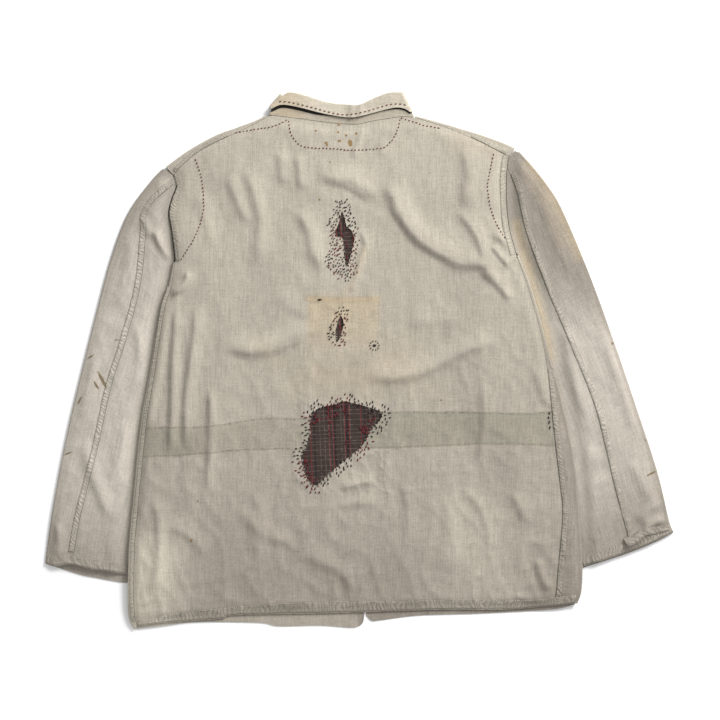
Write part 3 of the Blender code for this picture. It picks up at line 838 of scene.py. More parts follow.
@dataclass(frozen=True)
class TubeSet:
    """Many short threads as one mesh, each along its own middle line."""

    name: str
    paths: Array  # threads, rings, 3
    radius: float
    sides: int = 6

    def build(self) -> bpy.types.Object:
        """Sweeps a closed round section along every line.

        Returns:
            The threads as one object.
        """
        paths = self.paths
        count, rings = paths.shape[:2]
        along = np.gradient(paths, axis=1)
        along /= np.linalg.norm(along, axis=-1)[..., None]
        across = np.cross(along, (0, 0, 1.0))
        across /= np.linalg.norm(across, axis=-1)[..., None]
        up = np.cross(across, along)
        t = np.linspace(-1, 1, rings)
        size = self.radius * np.sqrt(1.02 - t**4)
        turn = np.arange(self.sides) / self.sides * 2 * np.pi
        section = np.cos(turn)[:, None] * across[:, :, None] + np.sin(turn)[:, None] * up[:, :, None]
        body = paths[:, :, None] + section * size[:, None, None]
        tips = [paths[:, k] + s * along[:, k] * self.radius * 0.5 for k, s in ((0, -1), (-1, 1))]
        each = rings * self.sides + 2
        points = np.concatenate([body.reshape(count, -1, 3), tips[0][:, None], tips[1][:, None]], axis=1)
        ring = np.arange(rings * self.sides).reshape(rings, self.sides)
        after = np.roll(ring, -1, axis=1)
        quads = np.stack([ring[:-1], after[:-1], after[1:], ring[1:]], axis=-1).reshape(-1, 4)
        low = np.stack([after[0], ring[0], np.full(self.sides, each - 2)], axis=-1)
        high = np.stack([ring[-1], after[-1], np.full(self.sides, each - 1)], axis=-1)
        shift = (np.arange(count) * each)[:, None, None]
        faces = [(block[None] + shift).reshape(-1, block.shape[1])[:, ::-1] for block in (quads, low, high)]
        made = make_object(self.name, points.reshape(-1, 3), faces)
        shade = np.random.default_rng(len(paths)).uniform(0, 1, count)
        put_values(made, {"shade": np.repeat(shade, each)})
        return made


def turned_edge(line: Array, out: Array, bottom: Array | float, half: Array,
                along: Array) -> tuple[Array, Array, Array]:
    """Cloth that turns round an edge, from the layer underneath to the one on top.

    Args:
        line: Points along the middle of the turn.
        out: The way out of the jacket at each point.
        bottom: The height at which the turn starts.
        half: Half the turn's height.
        along: How far each point lies along the cloth.

    Returns:
        Points of the outer wall, of the inner wall and of the flat cloth.
    """
    angle = np.linspace(-np.pi / 2, np.pi / 2, ARC_STEPS + 1)
    sides = []
    for trim in (0.0, WALL):
        across = line[:, None] + out[:, None] * ((FOLD - trim) * np.cos(angle))[None, :, None]
        z = (bottom + half)[:, None] + (half - trim)[:, None] * np.sin(angle)[None]
        sides.append(np.concatenate([across, z[..., None]], axis=-1))
    run = np.broadcast_to(angle[None] * FOLD, sides[0].shape[:2])
    cloth = np.stack([run, np.broadcast_to(along[:, None], run.shape)], axis=-1)
    return sides[0], sides[1], cloth


# ---------------------------------------------------------------- materials


def operator(operation: str, turned: bool = False) -> Callable[["Socket", object], "Socket"]:
    """One arithmetic operator of a Socket, or its reflected form.

    Args:
        operation: The Math node's operation.
        turned: Whether the other value comes first.

    Returns:
        The method.
    """

    def run(self: "Socket", other: object) -> "Socket":
        """Adds the Math node."""
        return self.math(operation, other, self) if turned else self.math(operation, self, other)

    return run


class Socket:
    """One output of a node, on which arithmetic adds Math nodes."""

    def __init__(self, nodes: "Nodes", output: bpy.types.NodeSocket) -> None:
        """Keeps the output with the tree that it belongs to."""
        self.nodes = nodes
        self.output = output

    def math(self, operation: str, a: object, b: object = None) -> "Socket":
        """Adds a Math node of one or two inputs."""
        inputs = {0: a} if b is None else {0: a, 1: b}
        return self.nodes.add("ShaderNodeMath", {"operation": operation}, inputs)

    __add__, __radd__ = operator("ADD"), operator("ADD", True)
    __sub__, __rsub__ = operator("SUBTRACT"), operator("SUBTRACT", True)
    __mul__, __rmul__ = operator("MULTIPLY"), operator("MULTIPLY", True)
    __truediv__ = operator("DIVIDE")

    def __abs__(self) -> "Socket":
        """This value without its sign."""
        return self.math("ABSOLUTE", self)

    def sine(self) -> "Socket":
        """The sine of this value."""
        return self.math("SINE", self)

    def at_least(self, other: object) -> "Socket":
        """The larger of this and another value."""
        return self.math("MAXIMUM", self, other)

    def step(self, low: float, high: float) -> "Socket":
        """A soft step from 0 at low to 1 at high, or the other way where low is the larger.

        Args:
            low: Where it is 0.
            high: Where it is 1.

        Returns:
            The step.
        """
        turned = low > high
        inputs = {"Value": self, "From Min": min(low, high), "From Max": max(low, high)}
        made = self.nodes.add("ShaderNodeMapRange", {"interpolation_type": "SMOOTHSTEP"}, inputs)
        return 1 - made if turned else made


class Nodes:
    """The node tree of one new material, with its shader."""

    def __init__(self, name: str, roughness: float, sheen: float = 0.0) -> None:
        """Makes the material.

        Args:
            name: Its name.
            roughness: How matt it is.
            sheen: How much its fibres glow at the edges.
        """
        self.material = bpy.data.materials.new(name)
        self.material.use_nodes = True
        self.tree = self.material.node_tree
        self.shader = self.tree.nodes["Principled BSDF"]
        self.shader.inputs["Roughness"].default_value = roughness
        self.shader.inputs["Specular IOR Level"].default_value = 0.25
        self.shader.inputs["Sheen Weight"].default_value = sheen

    def add(self, kind: str, settings: dict | None = None, inputs: dict | None = None,
            output: int | str = 0) -> Socket:
        """Adds one node.

        Args:
            kind: The node's type.
            settings: Its properties, set before its inputs.
            inputs: A value or a Socket for each input, by name or by number.
            output: Which output to return.

        Returns:
            The node's output.
        """
        node = self.tree.nodes.new(kind)
        for name, value in (settings or {}).items():
            setattr(node, name, value)
        for name, value in (inputs or {}).items():
            self.feed(node.inputs[name], value)
        return Socket(self, node.outputs[output])

    def feed(self, target: bpy.types.NodeSocket, value: object) -> None:
        """Links a Socket to an input, or sets the input to a plain value.

        Args:
            target: The input.
            value: A Socket, a number or a colour.
        """
        if isinstance(value, Socket):
            self.tree.links.new(value.output, target)
        elif isinstance(value, tuple) and target.type == "RGBA":
            target.default_value = (*value, 1.0)
        else:
            target.default_value = value

    def attribute(self, name: str) -> Socket:
        """A number stored on the points."""
        return self.add("ShaderNodeAttribute", {"attribute_name": name}, output="Fac")

    def place(self) -> Socket:
        """The place on the object, in metres."""
        return self.add("ShaderNodeTexCoord", output="Object")

    def scaled(self, vector: Socket, scale: tuple[float, float, float]) -> Socket:
        """A vector with each of its numbers multiplied."""
        return self.add("ShaderNodeVectorMath", {"operation": "MULTIPLY"}, {0: vector, 1: scale})

    def split(self, vector: Socket) -> tuple[Socket, Socket]:
        """The X and the Y of a vector."""
        node = self.add("ShaderNodeSeparateXYZ", None, {"Vector": vector}).output.node
        return Socket(self, node.outputs["X"]), Socket(self, node.outputs["Y"])

    def noise(self, vector: Socket, scale: float, detail: float = 2.0, rough: float = 0.5) -> Socket:
        """Noise from 0 to 1."""
        inputs = {"Vector": vector, "Scale": scale, "Detail": detail, "Roughness": rough}
        return self.add("ShaderNodeTexNoise", {"noise_dimensions": "3D"}, inputs)

    def mix(self, share: object, a: object, b: object) -> Socket:
        """A colour between two, by share."""
        return self.add("ShaderNodeMix", {"data_type": "RGBA"}, {0: share, 6: a, 7: b}, 2)

    def brighten(self, colour: Socket | Colour, value: Socket) -> Socket:
        """A colour multiplied by one number."""
        return self.add("ShaderNodeVectorMath", {"operation": "SCALE"}, {0: colour, "Scale": value})

    def spot(self, centre: tuple[float, float], size: tuple[float, float], turn: float) -> Socket:
        """A soft oval, 1 in its middle and 0 outside. Sizes are in millimetres and the turn in degrees.

        Args:
            centre: Its middle.
            size: Its half width and half length.
            turn: How far it is turned.

        Returns:
            The oval's share at each place.
        """
        inputs = {"Vector": self.place(), "Location": (centre[0] * MM, centre[1] * MM, 0.008),
                  "Rotation": (0, 0, math.radians(turn)), "Scale": (size[0] * MM, size[1] * MM, 0.2)}
        moved = self.add("ShaderNodeMapping", {"vector_type": "TEXTURE"}, inputs)
        return self.add("ShaderNodeTexGradient", {"gradient_type": "SPHERICAL"}, {"Vector": moved}, "Fac")

    def bump(self, height: Socket, strength: float, depth: float) -> None:
        """Feeds a height to the shader's normal.

        Args:
            height: The height.
            strength: How strongly it shows, up to 1.
            depth: What a height of 1 stands for, in metres.
        """
        inputs = {"Strength": strength, "Distance": depth, "Height": height}
        made = self.add("ShaderNodeBump", None, inputs)
        self.feed(self.shader.inputs["Normal"], made)

    def colour(self, value: Socket) -> None:
        """Feeds the shader's base colour."""
        self.feed(self.shader.inputs["Base Color"], value)


@dataclass(frozen=True)
class Spot:
    """One stain on the cloth."""

    centre: tuple[float, float]
    size: tuple[float, float]
    turn: float = 0.0
    strength: float = 0.8


RUST_SPOTS = [
    Spot((-14, 325), (5, 8), 10, 0.95), Spot((-65, 343), (3.5, 3), 0, 0.7), Spot((-49, 322), (3, 4)),
    Spot((-50, 325), (4, 3)), Spot((-30, 328), (5, 3), 10),
    Spot((-20, 336), (3, 3)), Spot((-5, 339), (4, 3)), Spot((-31, 352), (4, 3)), Spot((-32, 341), (3, 3)),
    Spot((-60, 240), (2.5, 2.5)), Spot((-44, 296), (2, 2)), Spot((122, -60), (3, 2)),
    Spot((-242, -211), (3, 2)), Spot((-252, -270), (3, 4)), Spot((-60, 90), (4, 4), 0, 0.6),
]
MARKS = {
    Side.LEFT: [
        Spot((-385, -30), (22, 4), -62, 0.85), Spot((-394, -38), (12, 3), -60, 0.8),
        Spot((-403, 5), (12, 3), 30, 0.6), Spot((-419, -60), (14, 3), 60, 0.6),
        Spot((-437, -140), (11, 3), 20, 0.6), Spot((-363, 30), (8, 2.5), 10, 0.5),
        Spot((-400, -190), (6, 2), 70, 0.4),
    ],
    Side.RIGHT: [
        Spot((437, -170), (13, 2.6), 25, 0.8), Spot((379, 25), (3, 3), 0, 0.8),
        Spot((330, 60), (5, 2), 70, 0.4), Spot((428, -120), (6, 2), -60, 0.5),
    ],
}


@dataclass(frozen=True)
class FadedTwill:
    """Sun-faded cotton twill with worn warp streaks, old seams and stains, with painted shade and light on
    its folds and painted shadow lines in its seams and under the collar's leaf.
    """

    name: str
    light: Colour
    deep: Colour
    spots: tuple[Spot, ...] = ()
    stain: Colour = (0.205, 0.118, 0.034)
    tanned: Colour = (0.455, 0.358, 0.226)
    soiled: Colour = (0.235, 0.222, 0.172)
    # painted shadow in the seams' gaps and under the collar's leaf
    shade: Colour = (0.010, 0.009, 0.008)
    unfaded: Colour = (0.272, 0.252, 0.198)
    holes: Colour = (0.145, 0.135, 0.105)
    rib: float = 1.1 * MM
    roughness: float = 0.92

    def build(self) -> bpy.types.Material:
        """Makes the material.

        Returns:
            The material.
        """
        n = Nodes(self.name, self.roughness, 0.08)
        place = n.place()
        cloth = n.add("ShaderNodeUVMap", {"uv_map": "cloth"}, output="UV")
        fine = n.noise(n.scaled(cloth, (560, 36, 1)), 1, 2)
        streak = n.noise(n.scaled(cloth, (260, 9, 1)), 1, 3, 0.6)
        broad = n.noise(n.scaled(cloth, (60, 3, 1)), 1, 2)
        weft = n.noise(n.scaled(cloth, (50, 420, 1)), 1, 2)
        cloud = n.noise(place, 6.0, 3, 0.55)
        blotch = n.noise(place, 38.0, 3, 0.6)
        fleck = n.noise(place, 480.0, 1)
        # Worn crests lighter, with painted shade and light on the folds' slopes and painted shade on the
        # seams' bands.
        wear = n.attribute("wear")
        # Sun fade and tone, with painted shade along the folds, move the colour from the light one to the
        # deep one.
        fade = n.attribute("fade") + 0.36 * (cloud - 0.5) + 0.14 * (blotch - 0.5)
        colour = n.mix(fade.step(-0.15, 1.15), self.light, self.deep)
        colour = self.strip(n, colour, blotch)
        colour = self.stains(n, colour, blotch)
        value = 0.94 + 0.46 * (fine - 0.5) + 0.24 * (streak - 0.5) + 0.12 * (broad - 0.5)
        value = value + 0.24 * (weft - 0.5) + 0.20 * (blotch - 0.5) + 0.44 * (fleck - 0.5) + 0.05 * wear
        n.colour(n.brighten(colour, value))
        n.feed(n.shader.inputs["Roughness"], 0.86 + 0.12 * fine)
        ribs = self.ribs(n, cloth)
        n.bump(0.6 * fine + 0.25 * weft + 0.3 * ribs + 0.4 * blotch, 0.5, 0.0006)
        return n.material

    def ribs(self, n: Nodes, cloth: Socket) -> Socket:
        """The twill's fine slanting ribs."""
        across, along = n.split(cloth)
        return 0.5 + 0.5 * ((across * 0.9 + along * 0.55) * (2 * math.pi / self.rib)).sine()

    def strip(self, n: Nodes, colour: Socket, blotch: Socket) -> Socket:
        """The strip that kept its colour under a band since taken off, with its edges' stitch holes.

        Args:
            n: The material's nodes.
            colour: The cloth's colour so far.
            blotch: Soft noise that breaks up the strip's edges.

        Returns:
            The colour with the strip.
        """
        edge = n.attribute("strip") + 0.0045 * (blotch - 0.5)
        held = edge.step(-0.0012, 0.0012)
        across, _ = n.split(n.place())
        share = 0.42 + 0.34 * across.step(-0.215, -0.262) + 0.30 * across.step(-0.07, 0.06)
        colour = n.mix(held * (share + 0.7 * (blotch - 0.4)), colour, self.unfaded)
        holes = n.noise(n.scaled(n.place(), (260, 260, 1)), 1, 0).step(0.45, 0.6)
        line = abs(edge - 0.0022).step(0.0018, 0.0002)
        return n.mix(line * (0.12 + 0.5 * holes), colour, self.holes)

    def stains(self, n: Nodes, colour: Socket, blotch: Socket) -> Socket:
        """Tan washes, greenish seams, small rust spots, and painted shadow lines in the seams' gaps and
        under the collar's leaf.

        Args:
            n: The material's nodes.
            colour: The cloth's colour so far.
            blotch: Soft noise that breaks up the stains.

        Returns:
            The colour with the stains.
        """
        tan = n.attribute("tan") * (0.72 + 0.5 * (blotch - 0.3))
        colour = n.mix(tan, colour, self.tanned)
        seam = n.attribute("seam") * (0.35 + 0.9 * (blotch - 0.3))
        colour = n.mix(seam, colour, self.soiled)
        # Painted shadow lines in the seams' gaps and under the collar's leaf.
        gap = n.attribute("gap").step(0.0002, 0.0009)
        colour = n.mix(gap * 0.97, colour, self.shade)
        if not self.spots:
            return colour
        rough = n.noise(n.place(), 420.0, 2)
        total = None
        for spot in self.spots:
            oval = n.spot(spot.centre, spot.size, spot.turn) * spot.strength
            total = oval if total is None else total.at_least(oval)
        mark = (total + 0.35 * (rough - 0.5) * total.step(0, 0.2)).step(0.18, 0.45)
        return n.mix(mark * 0.85, colour, self.stain)


@dataclass(frozen=True)
class CheckCloth:
    """Charcoal checked cloth, worn soft: black bands, dark red threads and thin pale lines."""

    name: str = "check_cloth"
    ground: Colour = (0.038, 0.026, 0.022)
    black: Colour = (0.012, 0.010, 0.010)
    red: Colour = (0.170, 0.024, 0.024)
    pink: Colour = (0.205, 0.155, 0.140)
    lean: float = 2.5
    repeat: tuple[float, float] = (-78.0, -176.0)  # the stretch of rows that comes again up the cloth
    bands: tuple[tuple[float, float], ...] = ((-72.5, 1.6), (-42.5, 3.2), (-22.5, 3.6), (3.8, 1.6),
                                              (26.5, 1.8), (-98, 2.6), (48, 2.4))
    reds: tuple[float, ...] = (-49.8, -43.9, -26.2, -19.9, -78, -2, 31, 52)
    pinks: tuple[float, ...] = (-50.6, -44.5, -32.0, -27.4, -18.5, -64, -57, 12, 20, 40)
    rows: tuple[float, ...] = (-103.0, -108.4, -114.6, -119.8, -124.0, -131.7, -140.2, -146.8, -96.0,
                               -88.5, -80.0, -155.5, -163.0, -172.0)

    def build(self) -> bpy.types.Material:
        """Makes the material. The check repeats up the cloth for the patches above.

        Returns:
            The material.
        """
        n = Nodes(self.name, 0.95)
        place = n.place()
        turn = {"vector_type": "POINT"}
        lean = (0, 0, -math.radians(self.lean))
        x, y = n.split(n.add("ShaderNodeMapping", turn, {"Vector": place, "Rotation": lean}))
        wave = n.noise(n.scaled(place, (25, 25, 1)), 1, 1) - 0.5
        x = x * 1000 + 1.2 * wave
        y = y * 1000 + 1.2 * wave
        y = n.add("ShaderNodeMath", {"operation": "WRAP"}, {0: y, 1: self.repeat[0], 2: self.repeat[1]})
        thread = n.noise(n.scaled(place, (1200, 160, 1)), 1, 2)
        speck = n.noise(n.scaled(place, (170, 1300, 1)), 1, 2)
        worn = n.noise(place, 60.0, 3)
        colour = n.brighten(self.ground, 0.72 + 0.55 * worn)
        for middle, half in self.bands:
            colour = n.mix(abs(x - middle).step(half, half * 0.5) * 0.75, colour, self.black)
        for middle in self.rows:
            line = abs(y - middle).step(0.8, 0.2)
            colour = n.mix(line * (0.18 + 2.0 * (speck - 0.47)), colour, self.pink)
        for middle in self.pinks:
            line = abs(x - middle).step(0.8, 0.2)
            colour = n.mix(line * (0.18 + 2.0 * (thread - 0.47)), colour, self.pink)
        for middle in self.reds:
            line = abs(x - middle).step(1.1, 0.3)
            colour = n.mix(line * (0.45 + 0.7 * (thread - 0.4)), colour, self.red)
        value = 1.0 + 0.5 * (thread - 0.5) + 0.5 * (speck - 0.5)
        n.colour(n.brighten(colour, value))
        n.bump(thread + speck, 0.5, 0.0005)
        return n.material


@dataclass(frozen=True)
class ThreadFinish:
    """Matt cotton thread, each stitch a little lighter or darker."""

    colour: ThreadColour
    dark: Colour
    light: Colour

    def build(self) -> bpy.types.Material:
        """Makes the material.

        Returns:
            The material.
        """
        n = Nodes(self.colour.value + "_thread", 0.85)
        twist = n.noise(n.scaled(n.place(), (2600, 2600, 900)), 1, 1)
        colour = n.mix(n.attribute("shade") * 0.8 + 0.2 * twist, self.dark, self.light)
        n.colour(colour)
        n.bump(twist, 0.4, 0.0002)
        return n.material


THREADS = {
    ThreadColour.RED: ThreadFinish(ThreadColour.RED, (0.050, 0.008, 0.009), (0.150, 0.018, 0.024)),
    ThreadColour.BLACK: ThreadFinish(ThreadColour.BLACK, (0.008, 0.006, 0.006), (0.022, 0.016, 0.016)),
    ThreadColour.PALE: ThreadFinish(ThreadColour.PALE, (0.36, 0.33, 0.27), (0.56, 0.52, 0.44)),
}


@dataclass(frozen=True)
class PaperFloor:
    """The plain pale floor."""

    colour: Colour = (0.93, 0.93, 0.93)
    grain: Colour = (0.9, 0.9, 0.9)

    def build(self) -> bpy.types.Material:
        """Makes the material.

        Returns:
            The material.
        """
        n = Nodes("floor", 0.9)
        grain = n.noise(n.place(), 3.0, 2)
        n.colour(n.mix(grain * 0.02, self.colour, self.grain))
        return n.material


# ---------------------------------------------------------------- tones of the cloth


@dataclass(frozen=True)
class Wash:
    """A soft-edged change of tone round a line."""

    points: Line
    width: float
    strength: float

    def at(self, p: Array) -> Array:
        """The share of this wash at each point."""
        away = distance(p, curve(self.points, 6 * len(self.points)))
        return self.strength * bell(away, self.width * MM)


BACK_TAN = [
    Wash([(9, 168), (-4, 130), (-25, 95)], 5, 0.30), Wash([(-40, 86), (20, 84)], 22, 0.10),
    Wash([(-76, 92), (-30, 90), (26, 91)], 4.5, 0.95), Wash([(-60, -20), (10, -28)], 30, 0.30),
    Wash([(-30, 10), (60, -5)], 38, 0.24), Wash([(-150, 20), (-120, -5)], 14, 0.14),
    Wash([(150, 330), (200, 318)], 16, 0.18), Wash([(225, 300), (232, 240)], 6, 0.20),
    Wash([(-90, -40), (-60, -30)], 24, 0.14), Wash([(80, -30), (110, -50)], 26, 0.08),
]
SLEEVE_TAN = {
    Side.LEFT: [Wash([(-300, 262), (-322, 238)], 8, 0.12)],
    Side.RIGHT: [
        Wash([(236, 203), (241, 176), (254, 138), (269, 81), (281, 33), (285, 3)], 8, 0.78),
        Wash([(254, 296), (278, 262), (300, 222), (330, 156)], 8, 0.56),
        Wash([(258, 285), (281, 240), (306, 184)], 15, 0.26),
    ],
}
# Darker tones: a dark line along the stain's top and broad darker areas, with painted shade along the folds
# near both shoulders, along the long diagonal fold and beside the right side seam near the hem.
DARK_TONES_AND_FOLD_SHADE = [
    Wash([(-78, 92), (-30, 90), (16, 91)], 3.6, 0.9),
    Wash([(276, -290), (280, -330), (268, -362)], 12, 0.30), Wash([(222, -367), (290, -362)], 7, 0.34),
    Wash([(-332, -122), (-232, -118)], 26, 0.26), Wash([(-180, -300), (-80, -320), (40, -330)], 75, 0.16),
    Wash([(155, 300), (158, 250), (150, 215)], 16, 0.22), Wash([(-205, 270), (-180, 215)], 14, 0.14),
    Wash([(30, 262), (70, 200), (115, 170), (190, 128)], 10, 0.16),
    Wash([(210, -160), (215, -300)], 30, 0.06),
]
LIGHT_WASH = [
    Wash([(-312, -300), (-318, -385)], 42, 1.0), Wash([(-22, 224), (-28, 150)], 42, 0.22),
    Wash([(-20, 62), (-24, 30)], 30, 0.12),
    Wash([(180, -250), (200, -330)], 70, 0.34), Wash([(-25, -130), (-20, -180)], 60, 0.12),
    Wash([(60, 230), (110, 205), (150, 175)], 14, 0.12),
]


@dataclass(frozen=True)
class Ramp:
    """A soft step along one measure, in millimetres. It falls where its width is below zero."""

    start: float
    width: float
    share: float = 1.0

    def at(self, value: Array) -> Array:
        """The part of the share that is reached at each value."""
        return self.share * smooth((value - self.start) / self.width)


@dataclass(frozen=True)
class Band:
    """A soft band on both sides of a line, in millimetres."""

    half: float
    share: float = 1.0

    def at(self, away: Array) -> Array:
        """The part of the share that is left at each distance from the line."""
        return self.share * bell(away, self.half)


class Tones:
    """The numbers that tell the cloth's finish where it is faded, worn, stained or seamed, and where shade
    and light are painted on its folds and seams.
    """

    relief_step = 2.5 * MM  # how far either side of a point its fold's slope is measured
    steepest = 0.34  # a fold's slope away from the light that is painted fully in shade
    # How far the painted slope shade goes, below zero on slopes towards the light, which are painted
    # lighter, and how strongly it darkens the value.
    slope_shade_range = (-0.12, 1.1)
    slope_shade_darkening = 2.6
    ridge_start = 0.4 * MM
    ridge_height = 2.2 * MM
    # half width of the painted shadow line along a seam
    groove_half = 0.9 * MM
    seam_band = Band(5, 0.5)

    back_fade = 0.44
    back_ramps = (Ramp(300, -300, 0.10), Ramp(20, -430, 0.32), Ramp(-340, -60, 0.02))  # down the back
    # Share of the painted slope shade that also darkens the back's tone.
    back_slope_shade = 0.22
    tan_corners = ((-77, 93), (28, 91), (30, -30), (-79, -28))  # of the stain in the middle of the back
    box_edge = Ramp(-5, 11, 0.62)
    box_foot = Ramp(-30, 110)
    open_side = -250  # the painted shadow line along the left armhole's seam is wider past this x
    open_span = (150, 262)  # and between these two heights
    # half widths added to the painted shadow line there and elsewhere
    open_half = 1.1 * MM
    shut_half = -0.2 * MM

    front_low = Ramp(60, -120)
    front_fade = 0.05
    front_fades = (0.85, -0.30)  # how much the right and the left side change towards the hem
    front_wear = 2.4
    front_tan = 0.3

    sleeve_fade = {Side.LEFT: 0.12, Side.RIGHT: 0.30}
    sleeve_ramp = {Side.LEFT: Ramp(40, 190, 0.42), Side.RIGHT: Ramp(20, 160, 0.58)}
    # Share of the painted slope shade that also darkens the sleeve's tone.
    sleeve_slope_shade = 0.18
    cuff_band = Band(90, 0.55)
    edge_band = Band(9, 0.30)
    wide_edge = Band(34, 0.45)
    wide_edge_ramp = Ramp(20, 140)
    ring_shade = Band(16, 0.75)
    ring_low, ring_high = Ramp(-20, 60), Ramp(215, -40)
    upper_wear = Ramp(10, 150, 2.0)
    rear_band = Band(6, 0.42)
    ring_band = {Side.LEFT: Band(7, 0.55), Side.RIGHT: Band(7, 0.12)}
    # half widths of the painted shadow lines along the rear seam and under the turned-up cuff's edge
    rear_groove = 0.75 * MM
    turned_groove = 1.3 * MM

    collar_fade = 0.05
    collar_tan = 0.10
    collar_left = Ramp(-60, -50, 0.5)
    collar_crease = Band(9, 0.35)
    crease_place = -14
    # width of the painted shadow band on the stand under the leaf's edge, wider at the left
    leaf_gap = (Ramp(-34, -40, 3.6), Ramp(30, 30, 1.6))
    leaf_gap_least = 1.5
    leaf_base = COLLAR_RISE + TUBE + 0.3 * MM
    leaf_ramp = Ramp(-40, 80, 0.22)
    stand_fade = 0.55
    no_gap = -5 * MM

    def __init__(self) -> None:
        """Finds the outlines of the strip and the tan stain, and the seams along which shadow lines are
        painted.
        """
        low, high = curve(STRIP_LOW, 40), curve(STRIP_TOP, 40)
        self.strip_ring = np.vstack([low, high[::-1]])
        self.tan_box = np.array(self.tan_corners, float) * MM
        self.grooves = [curve(BACK_NECK, 60)]
        for cut in HALVES.values():
            self.grooves += [curve(cut.shoulder_seam, 60), curve(cut.armhole_top, 40)]
            self.grooves.append(curve(cut.side_seam, 60))

    @staticmethod
    def wash(p: Array, washes: list[Wash]) -> Array:
        """The strongest of several washes."""
        return np.max([w.at(p) for w in washes], axis=0)

    def folds(self, p: Array, creases: list[Crease]) -> tuple[Array, Array]:
        """How far points stand out on the folds, and the painted shade on each fold's steep side, which
        faces away from the light.

        Args:
            p: Points across.
            creases: The folds.

        Returns:
            How far each point stands out less its painted shade, and the share of painted shade, below zero
            where a slope faces the light and is painted lighter.
        """
        step = self.relief_step * LIT_WAY
        low, high = (sum(crease.at(q) for crease in creases) for q in (p - step, p + step))
        # Painted shade: darker where a fold slopes away from the light along LIT_WAY, a little lighter where
        # it slopes towards it.
        slope_shade = np.clip((high - low) / (2 * self.relief_step) / self.steepest, *self.slope_shade_range)
        ridge = np.clip(((low + high) / 2 - self.ridge_start) / self.ridge_height, -1, 1)
        return ridge - self.slope_shade_darkening * slope_shade, slope_shade

    def back(self, outer: Array) -> Values:
        """The back's numbers.

        Args:
            outer: Points of the outer wall.

        Returns:
            The numbers by name.
        """
        p = outer[:, :2]
        x, y = p[:, 0] / MM, p[:, 1] / MM
        fade = self.back_fade + sum(ramp.at(y) for ramp in self.back_ramps)
        fade += self.wash(p, DARK_TONES_AND_FOLD_SHADE) - self.wash(p, LIGHT_WASH)
        tan = self.box_edge.at(signed(p, self.tan_box) / MM) * self.box_foot.at(y)
        tan = np.maximum(tan, self.wash(p, BACK_TAN))
        wear, slope_shade = self.folds(p, BACK_CREASES)
        strip = signed(p, self.strip_ring)
        seams = np.min([distance(p, line) for line in FORM.side_seams + FORM.armholes], axis=0)
        # Painted shadow line along the seams, wider on the left armhole's seam.
        groove = self.groove_half - np.min([distance(p, line) for line in self.grooves], axis=0)
        wide_shadow = (x < self.open_side) & (y > self.open_span[0]) & (y < self.open_span[1])
        groove += np.where(wide_shadow, self.open_half, self.shut_half)
        return {"fade": fade + self.back_slope_shade * slope_shade, "tan": tan, "wear": wear, "strip": strip,
                "seam": self.seam_band.at(seams / MM), "gap": groove}

    def front(self, outer: Array) -> Values:
        """The fronts' numbers, which show along the sides, shoulders and hem.

        Args:
            outer: Points of the outer wall.

        Returns:
            The numbers by name.
        """
        values = self.back(outer)
        x, y = outer[:, 0] / MM, outer[:, 1] / MM
        low = self.front_low.at(y)
        values["fade"] = values["fade"] + np.where(x > 0, *self.front_fades) * low + self.front_fade
        values["wear"] = values["wear"] - np.where(x > 0, self.front_wear, 0.0) * low
        values["strip"] = np.full(len(outer), -1.0)
        values["tan"] = self.front_tan * values["tan"]
        return values

    def sleeve(self, side: Side) -> Tone:
        """The numbers of one sleeve.

        Args:
            side: Whose sleeve.

        Returns:
            What gives them from the outer wall's points.
        """

        def values(outer: Array) -> Values:
            """The numbers by name.

            Args:
                outer: Points of the outer wall.

            Returns:
                A number a point for each name.
            """
            p = outer[:, :2]
            y = p[:, 1] / MM
            cuff = distance(p, curve(HALVES[side].cuff_top, 16)) / MM
            edge = distance(p, curve(HALVES[side].sleeve_edge, 30)) / MM
            ring = distance(p, FORM.ring) / MM
            seams = distance(p, curve(HALVES[side].rear_seam, 24))
            wear, slope_shade = self.folds(p, SLEEVE_CREASES[side])
            fade = self.sleeve_fade[side] + self.cuff_band.at(cuff) + self.edge_band.at(edge)
            fade += self.sleeve_ramp[side].at(y) + self.sleeve_slope_shade * slope_shade
            # Painted shadow line along the rear seam, and on the right sleeve under the turned-up cuff's
            # edge.
            groove = self.rear_groove - seams
            if side is Side.RIGHT:
                fade += self.wide_edge.at(edge) * self.wide_edge_ramp.at(y)
                fade -= self.ring_shade.at(ring) * self.ring_low.at(y) * self.ring_high.at(y)
                wear = wear - self.upper_wear.at(y) * (1 - bell(ring, self.ring_shade.half))
                groove = np.maximum(groove, self.turned_groove - distance(p, curve(TURNED_TOP, 40)))
            seam = np.maximum(self.rear_band.at(seams / MM), self.ring_band[side].at(ring))
            return {"fade": fade, "tan": self.wash(p, SLEEVE_TAN[side]), "seam": seam, "gap": groove,
                    "wear": wear, "strip": np.full(len(p), -1.0)}

        return values

    def collar(self, outer: Array) -> Values:
        """The collar's numbers: yellowed at its left, with a painted shadow band on the stand under the
        leaf's edge and a painted shadow line along the neck seam.

        Args:
            outer: Points of the outer wall.

        Returns:
            The numbers by name.
        """
        p = outer[:, :2]
        x = p[:, 0] / MM
        below = distance(p, curve(BACK_LEAF, 60)) / MM
        wide = self.leaf_gap_least + sum(ramp.at(x) for ramp in self.leaf_gap)
        high = outer[:, 2] > self.leaf_base
        fade = self.collar_fade + self.collar_crease.at(x - self.crease_place)
        fade += np.where(high, self.leaf_ramp.at(x), self.stand_fade)
